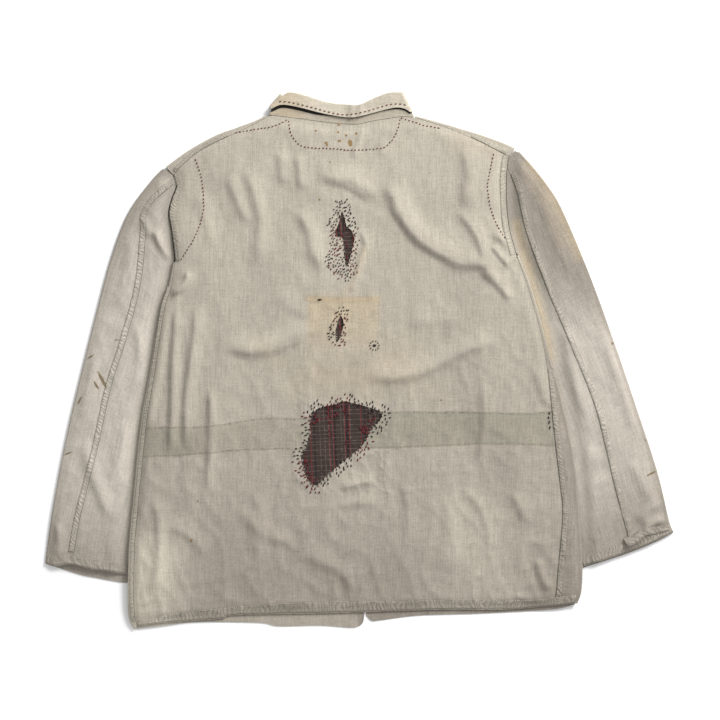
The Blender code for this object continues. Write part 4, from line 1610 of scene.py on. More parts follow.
        # Painted shadow band on the stand under the leaf's edge, and a painted shadow line along the neck
        # seam.
        gap = np.where(outer[:, 2] < self.leaf_base, (wide - below) * MM, self.no_gap)
        groove = self.groove_half - distance(p, curve(BACK_NECK, 60))
        gap = np.where(high, -1.0, np.maximum(gap, groove))
        return {"fade": fade, "tan": self.collar_tan + self.collar_left.at(x), "seam": np.zeros(len(p)),
                "wear": np.zeros(len(p)), "strip": np.full(len(p), -1.0), "gap": gap}


TONES = Tones()


# ---------------------------------------------------------------- the jacket's pieces


Finish = FadedTwill | CheckCloth | ThreadFinish


@dataclass
class Wardrobe:
    """The finishes that the pieces share, each made once."""

    made: dict[str, bpy.types.Material] = field(default_factory=dict)

    def get(self, finish: Finish) -> bpy.types.Material:
        """The material of a finish, made at its first use.

        Args:
            finish: The finish.

        Returns:
            Its material.
        """
        key = repr(finish)
        if key not in self.made:
            self.made[key] = finish.build()
        return self.made[key]


WARDROBE = Wardrobe()
LIGHT: Colour = (0.475, 0.435, 0.355)
DEEP: Colour = (0.292, 0.258, 0.215)
BACK_CLOTH = FadedTwill("back_cloth", LIGHT, DEEP, tuple(RUST_SPOTS))
FRONT_CLOTH = FadedTwill("front_cloth", LIGHT, DEEP)
SLEEVE_LIGHT: Colour = (0.487, 0.444, 0.382)
SLEEVE_DEEP: Colour = (0.270, 0.238, 0.200)
SLEEVE_STAIN: Colour = (0.150, 0.105, 0.048)
SLEEVE_CLOTHS = {
    side: FadedTwill(f"sleeve_cloth_{side.value}", SLEEVE_LIGHT, SLEEVE_DEEP, tuple(spots), SLEEVE_STAIN)
    for side, spots in MARKS.items()
}
COLLAR_CLOTH = FadedTwill("collar_cloth", (0.50, 0.455, 0.375), (0.30, 0.265, 0.215))


def dress(made: bpy.types.Object, finish: Finish, slot: str, *nodes: str) -> bpy.types.Object:
    """Gives a piece its finish, hangs it under the root body and hides the CAD parts that it stands for.

    Args:
        made: The piece.
        finish: Its finish.
        slot: Not used.
        nodes: The CAD nodes that it stands for.

    Returns:
        The piece.
    """
    made.data.materials.append(WARDROBE.get(finish))
    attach(made, "root")
    if nodes:
        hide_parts(*nodes)
    LOG.info("%s: %d faces", made.name, len(made.data.polygons))
    return made


@dataclass
class Ribbon:
    """A raised band of folded cloth along a seam or hem, drawn up by its stitches."""

    name: str
    low: Array
    high: Array
    host: Height
    lift: float = 0.75 * MM
    rope: float = 0.42 * MM  # height of the puckers across the band
    pitch: float = 5.0  # millimetres between puckers
    lean: float = 0.35
    stitch_rows: tuple[float, ...] = (-0.62, 0.62)
    rows: int = 11

    def surface(self, s: Array, a: Array) -> Array:
        """Points on the band's top, at shares s of its length and a across it from -1 to 1.

        Args:
            s: Shares along the band.
            a: Places across it.

        Returns:
            The points.
        """
        at = s * (len(self.low) - 1)
        i = np.clip(np.floor(at).astype(int), 0, len(self.low) - 2)
        f = (at - i)[..., None]
        low = self.low[i] * (1 - f) + self.low[i + 1] * f
        high = self.high[i] * (1 - f) + self.high[i + 1] * f
        mix = ((a + 1) / 2)[..., None]
        p = low * (1 - mix) + high * mix
        across = (self.high - self.low)[i] / np.linalg.norm(self.high[0] - self.low[0])
        p = p + 0.5 * MM * NOISES[7].at(p, 5, 5)[..., None] * across
        run = s * length_of(self.low) / MM
        drift = 1.1 * NOISES[6].at(p, 22, 22) + 0.5 * NOISES[7].at(p, 9, 9)
        wave = np.sin(2 * np.pi * (run / self.pitch + self.lean * a + drift))
        body = 1 - np.abs(a) ** 6
        groove = sum(0.28 * MM * bell(a - row, 0.13) for row in self.stitch_rows)
        strength = 0.6 + 0.6 * NOISES[5].at(p, 30, 30)
        z = self.host(p) + 0.08 * MM + body * (self.lift - groove + self.rope * (1 + wave) * strength)
        return level(p, z)

    def build(self, tones: Tone, cloth: FadedTwill,
              slot: str) -> list[bpy.types.Object]:
        """The band and the machine stitches along it.

        Args:
            tones: What gives the numbers for the finish.
            cloth: The finish.
            slot: The frame's slot for both pieces.

        Returns:
            The band, then its stitches.
        """
        steps = int(length_of(self.low) / (1.05 * MM))
        s, a = np.meshgrid(np.linspace(0, 1, steps + 1), np.linspace(-1, 1, self.rows))
        top = self.surface(s, a)
        under = top.copy()
        under[..., 2] = np.minimum(self.host(top[..., :2]) + 0.02 * MM, top[..., 2] - 0.04 * MM)
        shell = Shell(self.name)
        wide = np.linalg.norm(self.low - self.high, axis=1).mean()
        shell.add(top, under, np.stack([a * wide / 2, s * length_of(self.low)], axis=-1))
        middle = self.lift + 0.6 * self.rope + 0.08 * MM

        def values(outer: Array) -> Values:
            """The host's numbers, with the tops of the puckers lighter as worn, and painted shade on the
            band's low edges, its stitch grooves and the dips between puckers.

            Args:
                outer: Points of the outer wall.

            Returns:
                A number a point for each name.
            """
            found = tones(outer)
            raised = outer[:, 2] - self.host(outer[:, :2])
            # Lighter where the band stands highest; painted shade where it lies lowest.
            found["wear"] = 2.6 * np.clip((raised - middle) / (0.55 * self.rope), -2.0, 1.2)
            found["seam"] = np.maximum(found["seam"], 0.25)
            found["gap"] = np.full(len(outer), -1.0)
            return found

        band = dress(shell.build(values), cloth, slot)
        return [band, self.stitches(slot)]

    def stitches(self, slot: str) -> bpy.types.Object:
        """The rows of machine stitches.

        Args:
            slot: The frame's slot for the piece.

        Returns:
            The stitches as one piece.
        """
        count = int(length_of(self.low) / (3.1 * MM))
        start = (np.arange(count) + 0.15) / count
        s = start[:, None] + np.linspace(0, 0.74, 4)[None] / count
        rows = [self.surface(s, np.full_like(s, row)) for row in self.stitch_rows]
        paths = np.concatenate(rows)
        paths[:, 1:3, 2] += 0.14 * MM
        made = TubeSet(self.name + "_stitches", paths, 0.34 * MM, 5).build()
        return dress(made, THREADS[ThreadColour.PALE], slot)


def seam_band(name: str, middle: Array, inward: int, near: float, far: float, host: Height,
              **more: object) -> Ribbon:
    """A felled seam's band beside its line, between two distances in millimetres.

    Args:
        name: The band's name.
        middle: The seam's line.
        inward: The side of the line that counts as near.
        near: Where the band starts.
        far: Where it ends.
        host: The height of the cloth that it lies on.
        more: Other sizes of the band.

    Returns:
        The band, not yet built.
    """
    side = normals(middle, inward)
    return Ribbon(name, middle + near * MM * side, middle + far * MM * side, host, **more)


@dataclass
class Back:
    """The back panel with its three torn openings."""

    column_mm: float = 3.2
    row_mm: float = 3.5
    side_mm: float = 560
    armhole_mm: float = 132
    shoulder_mm: float = 170
    neck_mm: float = 216
    ragged: float = 0.5
    band_tops: dict[Side, float] = field(default_factory=lambda: {Side.LEFT: 110, Side.RIGHT: -12})
    band_widths: dict[Side, float] = field(default_factory=lambda: {Side.LEFT: 6.0, Side.RIGHT: 9.0})

    def outline(self) -> tuple[Array, Array, Array, Array]:
        """The hem, the top, and the two sides, with their points.

        Returns:
            The bottom, the top, the left and the right.
        """
        edges = {}
        rows = int(self.side_mm / self.row_mm), int(self.armhole_mm / self.row_mm)
        for side, cut in HALVES.items():
            edges[side] = joined(curve(cut.side_seam, rows[0]), curve(cut.armhole_top, rows[1]))
        columns = int(self.shoulder_mm / self.column_mm), int(self.neck_mm / self.column_mm)
        neck = curve(BACK_NECK, columns[1])
        neck = neck + SEAM * normals(neck, 1)
        crest = {side: curve(cut.shoulder_seam, columns[0]) for side, cut in HALVES.items()}
        top = joined(crest[Side.LEFT][:-1], neck, crest[Side.RIGHT][::-1][1:])
        top[0], top[-1] = edges[Side.LEFT][-1], edges[Side.RIGHT][-1]
        return curve(BACK_HEM, len(top) - 1), top, edges[Side.LEFT], edges[Side.RIGHT]

    def ragged_ring(self, ring: Line) -> Array:
        """A tear's edge, worn uneven.

        Args:
            ring: The tear's outline.

        Returns:
            The worn edge's points.
        """
        line = closed_curve(ring, max(24, int(length_of(np.array(ring, float)) / 1.1)))[:-1]
        closed = np.vstack([line[-1:], line, line[:1]])
        out = normals(closed, 1)[1:-1]
        shift = NOISES[7].at(line, 3.2, 3.2) + 0.6 * NOISES[6].at(line, 9, 9)
        return line + out * shift[:, None] * self.ragged * MM

    @staticmethod
    def block(grid: Array, ring: Array) -> tuple[slice, slice]:
        """The rows and columns of the grid that hold a ring with some room round it.

        Args:
            grid: The grid's points.
            ring: The ring.

        Returns:
            The slices of rows and of columns.
        """
        low, high = ring.min(0) - 9 * MM, ring.max(0) + 9 * MM
        held = ((grid > low) & (grid < high)).all(-1)
        rows = np.flatnonzero(held.any(1))
        columns = np.flatnonzero(held.any(0))
        return slice(rows[0] - 1, rows[-1] + 2), slice(columns[0] - 1, columns[-1] + 2)

    @staticmethod
    def round_edge(grid: Array) -> Array:
        """What lies along a grid's four edges, once round."""
        return np.concatenate([grid[0, :-1], grid[:-1, -1], grid[-1, :0:-1], grid[:0:-1, 0]])

    def refill(self, corner: Array, ring: Array) -> tuple[Array, Array]:
        """Fills a block of the grid with triangles round a torn opening.

        Args:
            corner: The block's grid of points.
            ring: The opening's edge.

        Returns:
            The points, the block's own edge first and in order, and the triangles.
        """
        edge = self.round_edge(corner)
        rows, columns = corner.shape[:2]
        finer = []
        for i in np.arange(0.5, rows - 1, 0.5):
            for j in np.arange(0.5, columns - 1, 0.5):
                a, b = int(i), int(j)
                u, v = i - a, j - b
                c, d = min(a + 1, rows - 1), min(b + 1, columns - 1)
                finer.append((1 - u) * ((1 - v) * corner[a, b] + v * corner[a, d])
                             + u * ((1 - v) * corner[c, b] + v * corner[c, d]))
        finer = np.array(finer)
        finer = finer[signed(finer, ring) < -0.8 * MM]
        points = np.vstack([edge, ring, finer])
        count, around = len(edge), len(ring)
        links = [(k, (k + 1) % count) for k in range(count)]
        links += [(count + k, count + (k + 1) % around) for k in range(around)]
        made = delaunay_2d_cdt([tuple(p) for p in points * 1000], links, [], 0, 1e-6, True)
        known = [ids[0] if ids else -1 for ids in made[3]]
        triangles = np.array([[known[k] for k in face] for face in made[2] if len(face) == 3])
        triangles = triangles[(triangles >= 0).all(1)]
        middle = points[triangles].mean(1)
        keep = inside(middle, edge) & ~inside(middle, ring)
        return points, triangles[keep]

    def build(self) -> list[bpy.types.Object]:
        """The panel, with its side, shoulder and hem bands.

        Returns:
            The panel, then its bands.
        """
        grid = coons(*self.outline())
        rows, columns = grid.shape[:2]
        index = np.arange(rows * columns).reshape(rows, columns)
        kept = np.ones((rows - 1, columns - 1), bool)
        points, triangles = [grid.reshape(-1, 2)], []
        count = rows * columns
        for ring in TEARS.values():
            edge = self.ragged_ring(ring)
            down, over = self.block(grid, edge)
            kept[down.start : down.stop - 1, over.start : over.stop - 1] = False
            corner = grid[down, over]
            made, faces = self.refill(corner, edge)
            own = index[down, over]
            border = self.round_edge(own)
            numbers = np.concatenate([border, count + np.arange(len(made) - len(border))])
            triangles.append(numbers[faces])
            points.append(made[len(border) :])
            count += len(made) - len(border)
        flat = np.vstack(points)
        quads = grid_faces(rows, columns)[kept.reshape(-1)]
        used = np.unique(np.concatenate([quads.reshape(-1)] + [t.reshape(-1) for t in triangles]))
        fresh = np.full(len(flat), -1)
        fresh[used] = np.arange(len(used))
        flat = flat[used]
        top = FORM.top(flat)
        shell = Shell("back_panel_cloth")
        faces = [fresh[quads]] + [fresh[t] for t in triangles]
        shell.add(level(flat, top), level(flat, top - WALL), flat, faces)
        panel = dress(shell.build(TONES.back), BACK_CLOTH, "back_cloth", "back_panel")
        return [panel] + self.bands()

    def bands(self) -> list[bpy.types.Object]:
        """The bands of the back's own seams and its hem.

        Returns:
            The pieces.
        """
        made = []
        for side, cut in HALVES.items():
            seam = curve(cut.side_seam, 200)[3:-2]
            seam = resample(seam[seam[:, 1] < self.band_tops[side] * MM], 200)
            wide = self.band_widths[side]
            band = seam_band(f"side_seam_{side.value}", seam, cut.turn, -0.5, -wide, FORM.top)
            made += band.build(TONES.front, BACK_CLOTH, "back_cloth")
            hole = curve(cut.armhole_top, 60)[1:]
            band = seam_band(f"armhole_{side.value}", hole, cut.turn, 1.0, 9.5, FORM.top)
            made += band.build(TONES.back, BACK_CLOTH, "back_cloth")
            crest = curve(cut.shoulder_seam, 80)[3:-2]
            crest = resample(crest[distance(crest, curve(cut.shoulder_edge, 60)) > 8.6 * MM], 80)
            band = seam_band(f"shoulder_seam_{side.value}", crest, cut.turn, -0.5, -5.8, FORM.top)
            made += band.build(TONES.front, BACK_CLOTH, "back_cloth")
        low, high = curve(BACK_HEM + [(321, -364)], 300), curve(HEM_STITCH + [(325, -351)], 300)
        low = low + 0.8 * MM * normals(low, -1)
        hem = Ribbon("hem", low, high, FORM.top, lift=0.8 * MM, rope=0.34 * MM, pitch=5.5,
                     stitch_rows=(0.80,), rows=15)
        return made + hem.build(TONES.back, BACK_CLOTH, "back_cloth")


@dataclass
class Patches:
    """The checked patches under the tears."""

    corners: dict[str, tuple[tuple[float, float], tuple[float, float]]] = field(default_factory=lambda: {
        "patch_large": ((-104, -206), (52, -46)),
        "patch_small": ((-52, 12), (-8, 86)),
        "patch_upper": ((-52, 128), (10, 240)),
    })
    wall: float = 0.7 * MM

    def build(self) -> list[bpy.types.Object]:
        """One thin shell for each patch, lying against the back's underside.

        Returns:
            The pieces.
        """
        made = []
        for name, (low, high) in self.corners.items():
            x = np.linspace(low[0], high[0], int((high[0] - low[0]) / 2)) * MM
            y = np.linspace(low[1], high[1], int((high[1] - low[1]) / 2)) * MM
            p = np.stack(np.meshgrid(x, y), axis=-1)
            under = patch_top(p)
            shell = Shell(name + "_cloth")
            shell.add(level(p, under), level(p, under - self.wall), p)
            piece = dress(shell.build(lambda outer: {}), CheckCloth(), "check_cloth", name)
            made.append(piece)
        return made


@dataclass
class Front:
    """One front, under the body and over its side and shoulder to their seams."""

    side: Side
    side_rows: int = 130
    armhole_rows: int = 26
    cap_rows: int = 4
    shoulder_steps: int = 46
    neck_steps: int = 30
    strip_steps: int = 12

    def build(self) -> bpy.types.Object:
        """The front as one shell.

        Returns:
            The piece.
        """
        cut = HALVES[self.side]
        edge = curve(cut.side_edge, self.side_rows)
        shoulder = curve(cut.shoulder_edge, self.shoulder_steps)
        out, up = normals(edge, -cut.turn), normals(shoulder, -cut.turn)
        edge_line, shoulder_line = edge - FOLD * out, shoulder - FOLD * up
        hole = cut.armhole(self.armhole_rows, self.cap_rows)
        hole[0], hole[-1] = edge_line[-1], shoulder_line[0]
        neck = curve(cut.front_neck, self.neck_steps)
        neck = neck + SEAM * normals(neck, cut.turn)
        neck[0] = shoulder_line[-1]
        sides, top = joined(edge_line, hole), joined(shoulder_line, neck)
        hem = curve(cut.front_hem, len(top) - 1)
        hem[0] = edge_line[0]
        centre = curve(cut.front_edge, len(sides) - 1)
        top[-1] = centre[-1]
        flat = coons(hem, top, sides, centre)
        seam = curve(cut.side_seam, self.side_rows)
        seam = seam + SEAM * normals(seam, -cut.turn)
        crest = curve(cut.shoulder_seam, self.shoulder_steps)
        crest = crest + SEAM * normals(crest, -cut.turn)
        crest[0] = crest[0] + 2 * SEAM * (crest[1] - crest[0]) / np.linalg.norm(crest[1] - crest[0])
        shell = Shell(f"front_{self.side.value}_cloth")
        z = FORM.rise(flat)
        shell.add(level(flat, z), level(flat, z + WALL), flat)
        for line, away, along in ((edge_line, out, 1), (shoulder_line, up, 0)):
            shell.add(*turned_edge(line, away, FORM.rise(line), FORM.tube(line) / 2, line[:, along]))
        for start, end in ((edge_line, seam), (shoulder_line, crest)):
            strip = np.linspace(start, end, self.strip_steps + 1, axis=1)
            z = FORM.top(strip)
            z[:, 0] = FORM.rise(start) + FORM.tube(start)
            shell.add(level(strip, z), level(strip, z - WALL), strip)
        return dress(shell.build(TONES.front), FRONT_CLOTH, "front_cloth", f"front_{self.side.value}")


@dataclass
class Sleeve:
    """One sleeve: two panels that meet at the rear seam on top and along the middle underneath."""

    side: Side
    rows: int = 190
    armhole_rows: int = 34
    cap_rows: int = 10

    def top(self, p: Array) -> Array:
        """The sleeve's upper surface."""
        return FORM.sleeve_top(p, self.side)

    def cloth(self, grid: Array) -> Array:
        """Places on the flat cloth, with the grain down the sleeve.

        Args:
            grid: A panel's points.

        Returns:
            A place on the flat cloth for each.
        """
        steps = np.linalg.norm(np.diff(grid, axis=1), axis=-1).mean(0)
        across = np.concatenate([[0], np.cumsum(steps)])
        drops = np.linalg.norm(np.diff(grid, axis=0), axis=-1).mean(1)
        along = np.concatenate([[0], np.cumsum(drops)])
        return np.stack(np.meshgrid(across, along), axis=-1)

    def build(self) -> list[bpy.types.Object]:
        """The outer and inner panels, then the bands of the rear seam and the cuff.

        Returns:
            The two panels, then the bands.
        """
        cut = HALVES[self.side]
        edge = curve(cut.sleeve_edge, self.rows)
        out = normals(edge, cut.turn)
        inner = curve(cut.inner_edge, self.rows)
        into = normals(inner, -cut.turn)
        edge_line, inner_line = edge - FOLD * out, inner - FOLD * into
        seam = curve(cut.rear_seam, self.rows)
        hole = cut.armhole(self.armhole_rows, self.cap_rows)[::-1]
        hole = hole + 3 * SEAM * normals(hole, cut.turn)
        split = self.cap_rows + 4
        cuff = curve(cut.cuff_top, 300)
        at = int(np.linalg.norm(cuff - seam[-1], axis=1).argmin())
        seam[0], seam[-1] = hole[split], cuff[at]
        hole[0], hole[-1] = edge_line[0], inner_line[0]
        cuff[0], cuff[-1] = edge_line[-1], inner_line[-1]
        under_cuff = curve(cut.cuff_under, len(hole) - 1)
        under_cuff[0], under_cuff[-1] = edge_line[-1], inner_line[-1]
        under = coons(hole, under_cuff, edge_line, inner_line)
        middle = len(hole) // 2
        gap = SEAM / 2 * normals(seam, cut.turn)
        wide = coons(hole[: split + 1], resample(cuff[: at + 1], split), edge_line, seam)
        wide[:, -1] += gap
        narrow = coons(hole[split:], resample(cuff[at:], len(hole) - 1 - split), seam, inner_line)
        narrow[:, 0] -= gap
        low = {"outer": under[:, : middle + 1].copy(), "inner": under[:, middle:].copy()}
        low["outer"][:, -1] += gap
        low["inner"][:, 0] -= gap
        high = {"outer": wide, "inner": narrow}
        turns = {"outer": (edge_line, out), "inner": (inner_line, into)}
        pieces = []
        for name, grid in high.items():
            shell = Shell(f"sleeve_{self.side.value}_{name}_cloth")
            top = self.top(grid)
            shell.add(level(grid, top), level(grid, top - WALL), self.cloth(grid))
            line, away = turns[name]
            shell.add(*turned_edge(line, away, 0.0, self.top(line) / 2, run_along(line)))
            shell.add(level(low[name], 0.0), level(low[name], WALL), self.cloth(low[name]))
            made = shell.build(TONES.sleeve(self.side))
            node = f"sleeve_{self.side.value}_{name}"
            pieces.append(dress(made, SLEEVE_CLOTHS[self.side], "sleeve_cloth", node))
        return pieces + self.bands(seam, cuff)

    def bands(self, seam: Array, cuff: Array) -> list[bpy.types.Object]:
        """The bands of the rear seam and the cuff.

        Args:
            seam: The rear seam's line.
            cuff: The cuff's edge.

        Returns:
            The pieces.
        """
        cut, tones, cloth = HALVES[self.side], TONES.sleeve(self.side), SLEEVE_CLOTHS[self.side]
        name = self.side.value
        line = resample(seam[4:-6], 220)
        rear = seam_band(f"rear_seam_{name}", line, cut.turn, 0.6, 9.0, self.top)
        edge = resample(cuff, 90)[1:]
        keep = ~inside(edge, FORM.body) & (distance(edge, FORM.ring) > 3 * MM)
        edge = resample(edge[keep], 90)
        hem = seam_band(f"cuff_{name}", edge, -cut.turn, 0.5, 14.5, self.top, pitch=5.5,
                        stitch_rows=(0.8,), rows=13)
        made = rear.build(tones, cloth, "sleeve_cloth") + hem.build(tones, cloth, "sleeve_cloth")
        if self.side is Side.RIGHT:
            turned = Ribbon("cuff_turned_up", curve(TURNED_LOW, 60), curve(TURNED_TOP, 60), self.top,
                            lift=3.0 * MM, rope=0.5 * MM, pitch=9.0, lean=0.9, stitch_rows=(-0.7,), rows=13)
            made += turned.build(tones, cloth, "sleeve_cloth")
        return made


@dataclass
class Collar:
    """The collar: a stand round the neck, and a leaf that rolls over it and lies down outside."""

    front_steps: int = 36
    back_steps: int = 96
    arc_steps: int = 8
    rows: int = 16

    def sections(self, lower: dict[str, Line], upper: dict[str, Line]) -> tuple[Array, Array]:
        """Middle points of a band round the neck, and the way each of its columns faces.

        Args:
            lower: The band's lower edge over the left front, the back and the right front.
            upper: The same for its upper edge.

        Returns:
            The points, and a unit vector a column.
        """
        flats = {}
        steps = {"left": self.front_steps, "back": self.back_steps, "right": self.front_steps}
        for name, count in steps.items():
            low, high = curve(lower[name], count), curve(upper[name], count)
            ends = [np.linspace(low[k], high[k], self.rows + 1) for k in (0, -1)]
            flats[name] = coons(low, high, *ends)
        down, up = np.array((0, 0, -1.0)), np.array((0, 0, 1.0))
        angles = np.linspace(-np.pi / 2, np.pi / 2, self.arc_steps + 1)
        arcs = {}
        for name, column, turn in (("left", 0, -1), ("right", -1, 1)):
            out = np.append(normals(flats["back"][:, column], turn)[0], 0)
            arcs[name] = [np.cos(a) * out + np.sin(a) * up for a in angles]
        middles = [flats["left"][:, ::-1], self.held(flats["back"][:, 0]), flats["back"][:, 1:],
                   self.held(flats["back"][:, -1]), flats["right"][:, 1:]]
        facing = [down] * (self.front_steps + 1) + arcs["left"][1:] + [up] * self.back_steps
        facing += arcs["right"][:-1][::-1] + [down] * self.front_steps
        return np.concatenate(middles, axis=1), np.array(facing)

    def held(self, column: Array) -> Array:
        """One column repeated for the steps of a turn."""
        return np.repeat(column[:, None], self.arc_steps, axis=1)

    @staticmethod
    def rise(middles: Array) -> Array:
        """The way up the band at each column."""
        way = level(middles[-1] - middles[0], 0.0)
        return way / np.linalg.norm(way, axis=1)[:, None]

    def at(self, middles: Array, facing: Array, reach: Array | float) -> Array:
        """Points at a reach out from the band's middle."""
        return level(middles, COLLAR_RISE + FOLD) + facing[None] * reach

    @staticmethod
    def swell(p: Array) -> Array:
        """How far the leaf stands off where it shows, in soft waves.

        Args:
            p: Points across.

        Returns:
            A height a point.
        """
        x = p[..., 0] / MM
        waves = 0.5 * (1 + NOISES[1].at(p, 24, 40)) + 0.28 * (1 + NOISES[2].at(p, 10, 14))
        crease = 1.1 * bell(x + 12, 4) + 0.9 * bell(x - 1, 4)
        return (waves + crease + 1.2 * smooth((-40 - x) / 50)) * MM

    def leaf_top(self, p: Array) -> Array:
        """The height of the leaf's upper surface over the back."""
        return COLLAR_RISE + 2 * FOLD + COLLAR_AIR + WALL + self.swell(p)

    def build(self) -> list[bpy.types.Object]:
        """The stand and the leaf.

        Returns:
            The pieces.
        """
        left, right = HALVES[Side.LEFT], HALVES[Side.RIGHT]
        roll = {"left": left.front_roll, "back": BACK_ROLL, "right": right.front_roll}
        neck = {"left": left.front_neck, "back": BACK_NECK, "right": right.front_neck}
        free = {"left": left.front_leaf, "back": BACK_LEAF, "right": right.front_leaf}
        middles, facing = self.sections(neck, roll)
        shorter = -np.linspace(0, 1.2 * MM, len(middles))[:, None, None] * self.rise(middles)[None]
        stand = Shell("collar_stand_cloth")
        flat = middles[..., [1, 0]] - 0.3
        walls = [self.at(middles, facing, reach) + shorter for reach in (FOLD, FOLD - WALL)]
        stand.add(*walls, flat)
        made = [dress(stand.build(TONES.collar), COLLAR_CLOTH, "collar_cloth", "collar_stand")]
        middles, facing = self.sections(free, roll)
        out = FOLD + COLLAR_AIR + WALL
        radius = (COLLAR_AIR + 2 * WALL) / 2
        extra = (smooth(facing[:, 2])[None] * self.swell(middles))[..., None]
        sides = []
        for r in (radius, radius - WALL):
            leaf = self.at(middles, facing, out - radius + r + extra)
            crest = level(middles[-1], COLLAR_RISE + FOLD)
            turned = []
            for a in np.linspace(0, np.pi, 9)[1:]:
                stand_off = (out - radius + r * math.cos(a)) + extra[-1] * (1 + math.cos(a)) / 2
                turned.append(crest + facing * stand_off + self.rise(middles) * r * math.sin(a))
            sides.append(np.concatenate([leaf, np.array(turned)]))
        up = np.concatenate([middles[..., 1], middles[-1:, :, 1].repeat(8, 0)])
        flat = np.stack([up, np.concatenate([middles[..., 0], middles[-1:, :, 0].repeat(8, 0)])], axis=-1)
        leaf = Shell("collar_leaf_cloth")
        leaf.add(sides[0], sides[1], flat)
        made.append(dress(leaf.build(TONES.collar), COLLAR_CLOTH, "collar_cloth", "collar_leaf"))
        return made


# ---------------------------------------------------------------- hand stitching


@dataclass(frozen=True)
class Cluster:
    """A group of seed stitches sewn through a patch inside its tear."""

    centre: tuple[float, float]
    spread: tuple[float, float]
    count: int
    colour: ThreadColour = ThreadColour.RED
    upright: bool = True


RED, BLACK = ThreadColour.RED, ThreadColour.BLACK
CLUSTERS = [
    Cluster((-64, -90), (4.5, 4.5), 16, upright=False), Cluster((-46, -78), (2.2, 7), 14),
    Cluster((-34, -76), (1.8, 6), 9), Cluster((-21, -76), (2.2, 6), 11), Cluster((7, -105), (4, 6), 20),
    Cluster((19, -91), (5, 4), 9, upright=False), Cluster((-80, -158), (2.6, 9), 20),
    Cluster((-72, -176), (4, 4), 10), Cluster((-44, -106), (2, 9), 8), Cluster((-20, -108), (2, 9), 8),
    Cluster((-66, -78), (4, 3), 8, BLACK), Cluster((20, -80), (5, 3), 8, BLACK),
    Cluster((-24, 190), (3, 9), 6), Cluster((-18, 160), (2, 7), 5), Cluster((-30, 48), (1.5, 6), 3),
]
UPPER_FIELD: Line = [(-35, 243), (-13, 238), (-11, 218), (-3, 201), (-1, 171), (-6, 153), (-3, 135),
                     (-14, 115), (-28, 121), (-41, 128), (-53, 146), (-51, 161), (-42, 167), (-45, 180),
                     (-45, 200), (-51, 205), (-39, 219)]
SMALL_FIELD: Line = [(-36, 76), (-28, 79), (-15, 75), (-18, 53), (-18, 38), (-24, 19), (-38, 22), (-51, 38),
                     (-47, 49), (-41, 57)]
ZONES: dict[str, list[tuple[float, float, ThreadColour]]] = {
    "large": [
        (-67, -61, BLACK), (-48, -52, RED), (-25, -49, RED), (-2, -55, BLACK), (16, -62, BLACK),
        (38, -88, BLACK), (28, -104, BLACK), (14, -124, RED), (4, -142, RED), (-10, -157, BLACK),
        (-30, -176, BLACK), (-49, -188, BLACK), (-68, -192, RED), (-86, -180, RED), (-94, -160, RED),
        (-94, -140, BLACK), (-86, -110, BLACK), (-84, -86, RED), (-78, -76, BLACK),
    ],
    "upper": [
        (-30, 238, BLACK), (-15, 228, BLACK), (-44, 212, BLACK), (-3, 205, BLACK), (-46, 188, RED),
        (-36, 172, RED), (-4, 186, RED), (-5, 168, RED), (-48, 152, BLACK), (-34, 156, RED),
        (-42, 142, RED), (-30, 138, BLACK), (-34, 128, RED), (-20, 122, BLACK), (-8, 133, RED),
        (-8, 148, RED), (-26, 148, BLACK),
    ],
    "small": [
        (-28, 76, BLACK), (-38, 62, RED), (-18, 58, RED), (-46, 42, BLACK), (-20, 40, RED), (-30, 22, RED),
    ],
}


